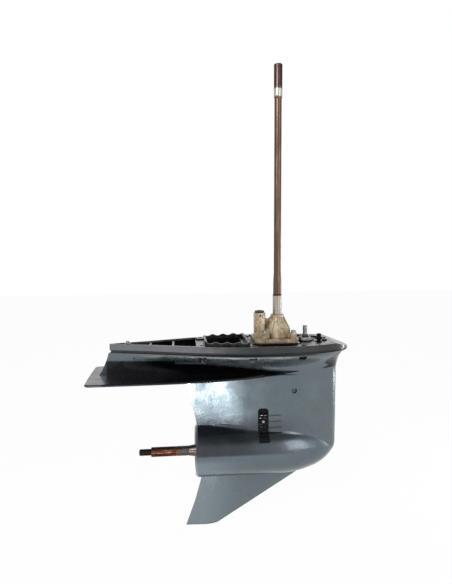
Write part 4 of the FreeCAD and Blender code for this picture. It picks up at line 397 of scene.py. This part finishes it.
def drive_shaft_steel():
    """Copper-brown film on the long shaft, grey-brown spline, bright collar and chromed foot."""
    s = Surface("drive_shaft_steel", (0.115, 0.072, 0.050), metallic=0.9, roughness=0.3)
    z = s.axis("Z")
    s.tint(s.ramp(s.noise(60, 4, 0.6, (1, 1, 0.12)), 0.4, 0.7), (0.062, 0.036, 0.026))
    s.tint(s.ramp(s.noise(140, 4, 0.7, (1, 1, 0.05)), 0.55, 0.75), (0.26, 0.17, 0.10), 0.6)
    s.tint(s.ramp(z, SHAFT_SPLINE_LOW, SHAFT_SPLINE_LOW + 0.004), (0.075, 0.050, 0.044))
    s.tint(s.band(z, SHAFT_COLLAR_LOW, SHAFT_SPLINE_LOW, 0.002), (0.42, 0.40, 0.37))
    s.tint(s.ramp(z, SHAFT_FOOT_TOP, SHAFT_FOOT_TOP - 0.004), (0.34, 0.30, 0.265))
    s.tint(s.band(z, SHAFT_FOOT_TOP - 0.0045, SHAFT_FOOT_TOP - 0.0005, 0.0006), (0.03, 0.022, 0.016))
    rust = s.product(s.ramp(z, 0.10, 0.02), s.ramp(s.noise(90, 4), 0.5, 0.7))
    s.tint(rust, (0.25, 0.16, 0.09))
    s.rough(s.noise(200, 4, 0.6, (1, 1, 0.1)), 0.3, 0.7, 0.2, 0.42)
    s.bump(s.noise(900, 2, 0.5, (1, 1, 0.08)), 0.00003)
    return s.done()


def prop_shaft_steel():
    """Copper-brown spline, dark thread, plain steel journal."""
    s = Surface("prop_shaft_steel", (0.075, 0.062, 0.060), metallic=0.9, roughness=0.3)
    x = s.axis("X")
    s.tint(s.ramp(s.noise(120, 4, 0.6, (0.2, 1, 1)), 0.45, 0.7), (0.15, 0.12, 0.11))
    spline = s.ramp(x, PROP_SPLINE_FRONT, PROP_SPLINE_FRONT - 0.003)
    s.tint(spline, (0.095, 0.036, 0.022))
    streaks = s.ramp(s.noise(170, 4, 0.6, (0.2, 1, 1)), 0.5, 0.7)
    s.tint(s.product(spline, streaks), (0.30, 0.15, 0.09))
    s.tint(s.ramp(x, PROP_THREAD_FRONT, PROP_THREAD_FRONT - 0.002), (0.016, 0.011, 0.01))
    s.rough(s.noise(220, 3), 0.3, 0.7, 0.22, 0.42)
    # painted shade in sheltered corners and between the spline teeth
    s.crevice_shade(0.003, (0.05, 0.022, 0.014), 0.6)
    s.bump(s.noise(900, 2), 0.00003)
    return s.done()


def rod_steel():
    s = Surface("rod_steel", (0.30, 0.30, 0.30), metallic=0.8, roughness=0.4)
    s.tint(s.ramp(s.noise(150, 4), 0.45, 0.7), (0.14, 0.13, 0.12))
    s.bump(s.noise(700, 3), 0.00006)
    return s.done()


def gear_steel():
    s = Surface("gear_steel", (0.33, 0.33, 0.345), metallic=1.0, roughness=0.3)
    s.tint(s.ramp(s.noise(110, 4), 0.4, 0.75), (0.22, 0.20, 0.18))
    # painted shade in sheltered corners and between the teeth
    s.crevice_shade(0.003, (0.05, 0.04, 0.03), 0.7)
    s.rough(s.noise(180, 3), 0.3, 0.7, 0.2, 0.4)
    s.bump(s.noise(800, 3), 0.00004)
    return s.done()


def bearing_steel():
    s = Surface("bearing_steel", (0.62, 0.62, 0.64), metallic=1.0, roughness=0.14)
    s.tint(s.ramp(s.noise(90, 3), 0.5, 0.75), (0.42, 0.38, 0.32), 0.5)
    s.rough(s.noise(300, 3), 0.3, 0.7, 0.08, 0.22)
    return s.done()


def dress_nodes():
    """Give every carried-over node the finish of its material slot."""
    finishes = {make.__name__: make() for make in (
        case_paint, black_plastic, stainless, black_rubber, gasket, pump_plastic, bare_aluminium,
        drive_shaft_steel, prop_shaft_steel, rod_steel, gear_steel, bearing_steel)}
    for part in frame["record"]["subparts"]:
        shown = nodes[part["node"]]
        finish = finishes["case_paint" if part["node"] == "oil_level_plug" else part["material_slot"]]
        if not shown.material_slots:
            shown.data.materials.append(finish)
        for held in shown.material_slots:
            held.material = finish
    return finishes


# Detail pieces


def mesh_piece(name, points, faces, body, finish):
    """A new piece from points and faces, riding on a body."""
    data = bpy.data.meshes.new(name)
    data.from_pydata(points, [], faces)
    work = bmesh.new()
    work.from_mesh(data)
    bmesh.ops.recalc_face_normals(work, faces=work.faces)
    work.to_mesh(data)
    work.free()
    data.materials.append(finish)
    for polygon in data.polygons:
        polygon.use_smooth = True
    piece = bpy.data.objects.new(name, data)
    bpy.context.scene.collection.objects.link(piece)
    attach(piece, body)


def thread(name, body, finish):
    """Helical thread over the plain blank at the propeller shaft's end, fading out at both ends."""
    steps = int((THREAD_END - THREAD_START) / THREAD_PITCH * POINTS_PER_TURN)
    points = []
    for i in range(steps + 1):
        turn = i / POINTS_PER_TURN
        angle = 2 * math.pi * turn
        centre = THREAD_START + THREAD_PITCH * turn
        fade = min(1.0, 2 * turn, (steps - i) / POINTS_PER_TURN * 2)
        for along, share in THREAD_PROFILE:
            rise = share * THREAD_DEPTH * fade if share else -THREAD_SUNK
            r = THREAD_RADIUS + rise
            points.append((centre + along * THREAD_PITCH, r * math.sin(angle), PROP_Z + r * math.cos(angle)))
    faces = []
    row = len(THREAD_PROFILE)
    for i in range(steps):
        for j in range(row - 1):
            a = i * row + j
            faces.append((a, a + 1, a + row + 1, a + row))
    mesh_piece(name, points, faces, body, finish)


# Stage


def plain_rays(tree):
    """1 for the rays that show the plain background: camera, glossy and transmission."""
    rays = tree.nodes.new("ShaderNodeLightPath")
    seen = rays.outputs["Is Camera Ray"]
    for kind in ("Is Glossy Ray", "Is Transmission Ray"):
        larger = tree.nodes.new("ShaderNodeMath")
        larger.operation = "MAXIMUM"
        tree.links.new(seen, larger.inputs[0])
        tree.links.new(rays.outputs[kind], larger.inputs[1])
        seen = larger.outputs[0]
    return seen


def make_floor():
    """Pale matt floor just under the skeg, which the camera sees as nearly white."""
    data = bpy.data.meshes.new("floor")
    low = cad_box[0][2] - FLOOR_GAP
    corners = [(x * FLOOR_HALF, y * FLOOR_HALF, low) for x, y in ((-1, -1), (1, -1), (1, 1), (-1, 1))]
    data.from_pydata(corners, [], [(0, 1, 2, 3)])
    floor = bpy.data.objects.new("floor", data)
    bpy.context.scene.collection.objects.link(floor)
    pale = bpy.data.materials.new("floor")
    pale.use_nodes = True
    tree = pale.node_tree
    shader = tree.nodes["Principled BSDF"]
    shader.inputs["Base Color"].default_value = (0.9, 0.9, 0.9, 1)
    shader.inputs["Roughness"].default_value = 0.9
    glow = tree.nodes.new("ShaderNodeEmission")
    glow.inputs["Color"].default_value = (1, 1, 1, 1)
    mixer = tree.nodes.new("ShaderNodeMixShader")
    share = tree.nodes.new("ShaderNodeMath")
    share.operation = "MULTIPLY"
    share.inputs[1].default_value = FLOOR_WHITE
    tree.links.new(plain_rays(tree), share.inputs[0])
    tree.links.new(share.outputs[0], mixer.inputs[0])
    tree.links.new(shader.outputs[0], mixer.inputs[1])
    tree.links.new(glow.outputs[0], mixer.inputs[2])
    tree.links.new(mixer.outputs[0], tree.nodes["Material Output"].inputs["Surface"])
    data.materials.append(pale)


def make_world():
    """World that is white from the floor to well above the horizon and grey overhead."""
    world = bpy.data.worlds.new("world")
    world.use_nodes = True
    bpy.context.scene.world = world
    tree = world.node_tree
    background = tree.nodes["Background"]
    level = tree.nodes.new("ShaderNodeMapRange")
    level.inputs["To Min"].default_value = WORLD_LIGHT
    level.inputs["To Max"].default_value = WORLD_WHITE
    tree.links.new(plain_rays(tree), level.inputs["Value"])
    tree.links.new(level.outputs[0], background.inputs["Strength"])
    place = tree.nodes.new("ShaderNodeTexCoord")
    parts = tree.nodes.new("ShaderNodeSeparateXYZ")
    fade = tree.nodes.new("ShaderNodeMapRange")
    fade.interpolation_type = "SMOOTHSTEP"
    for key, value in WORLD_FADE.items():
        fade.inputs[key].default_value = value
    tree.links.new(place.outputs["Generated"], parts.inputs[0])
    tree.links.new(parts.outputs["Z"], fade.inputs["Value"])
    tree.links.new(fade.outputs[0], background.inputs["Color"])


def lamp(name, place, target, width, height, power):
    """A soft rectangular lamp aimed at a point."""
    data = bpy.data.lights.new(name, "AREA")
    data.shape = "RECTANGLE"
    data.size, data.size_y = width, height
    data.energy = power
    shown = bpy.data.objects.new(name, data)
    shown.location = place
    shown.rotation_euler = (Vector(target) - Vector(place)).to_track_quat("-Z", "Y").to_euler()
    bpy.context.scene.collection.objects.link(shown)


make_camera()
finishes = dress_nodes()
thread("prop_nut_thread", "prop_shaft", finishes["prop_shaft_steel"])
make_floor()
make_world()
lamp("key", (-1.3, -1.6, 1.2), (-0.1, 0, -0.15), 0.9, 0.9, 30)
lamp("front", (1.0, -1.5, 0.5), (0.0, 0, -0.1), 0.9, 1.3, 10)
lamp("low", (-0.42, -0.72, -0.39), (-0.19, 0, -0.14), 0.10, 0.07, 1.5)
lamp("edge", (1.1, 0.15, -0.05), (0.12, 0, -0.15), 0.10, 0.7, 4)
lamp("top", (0.0, 0.5, 2.0), (-0.1, 0, 0), 1.4, 1.4, 12)
bpy.context.scene.view_settings.view_transform = "Standard"
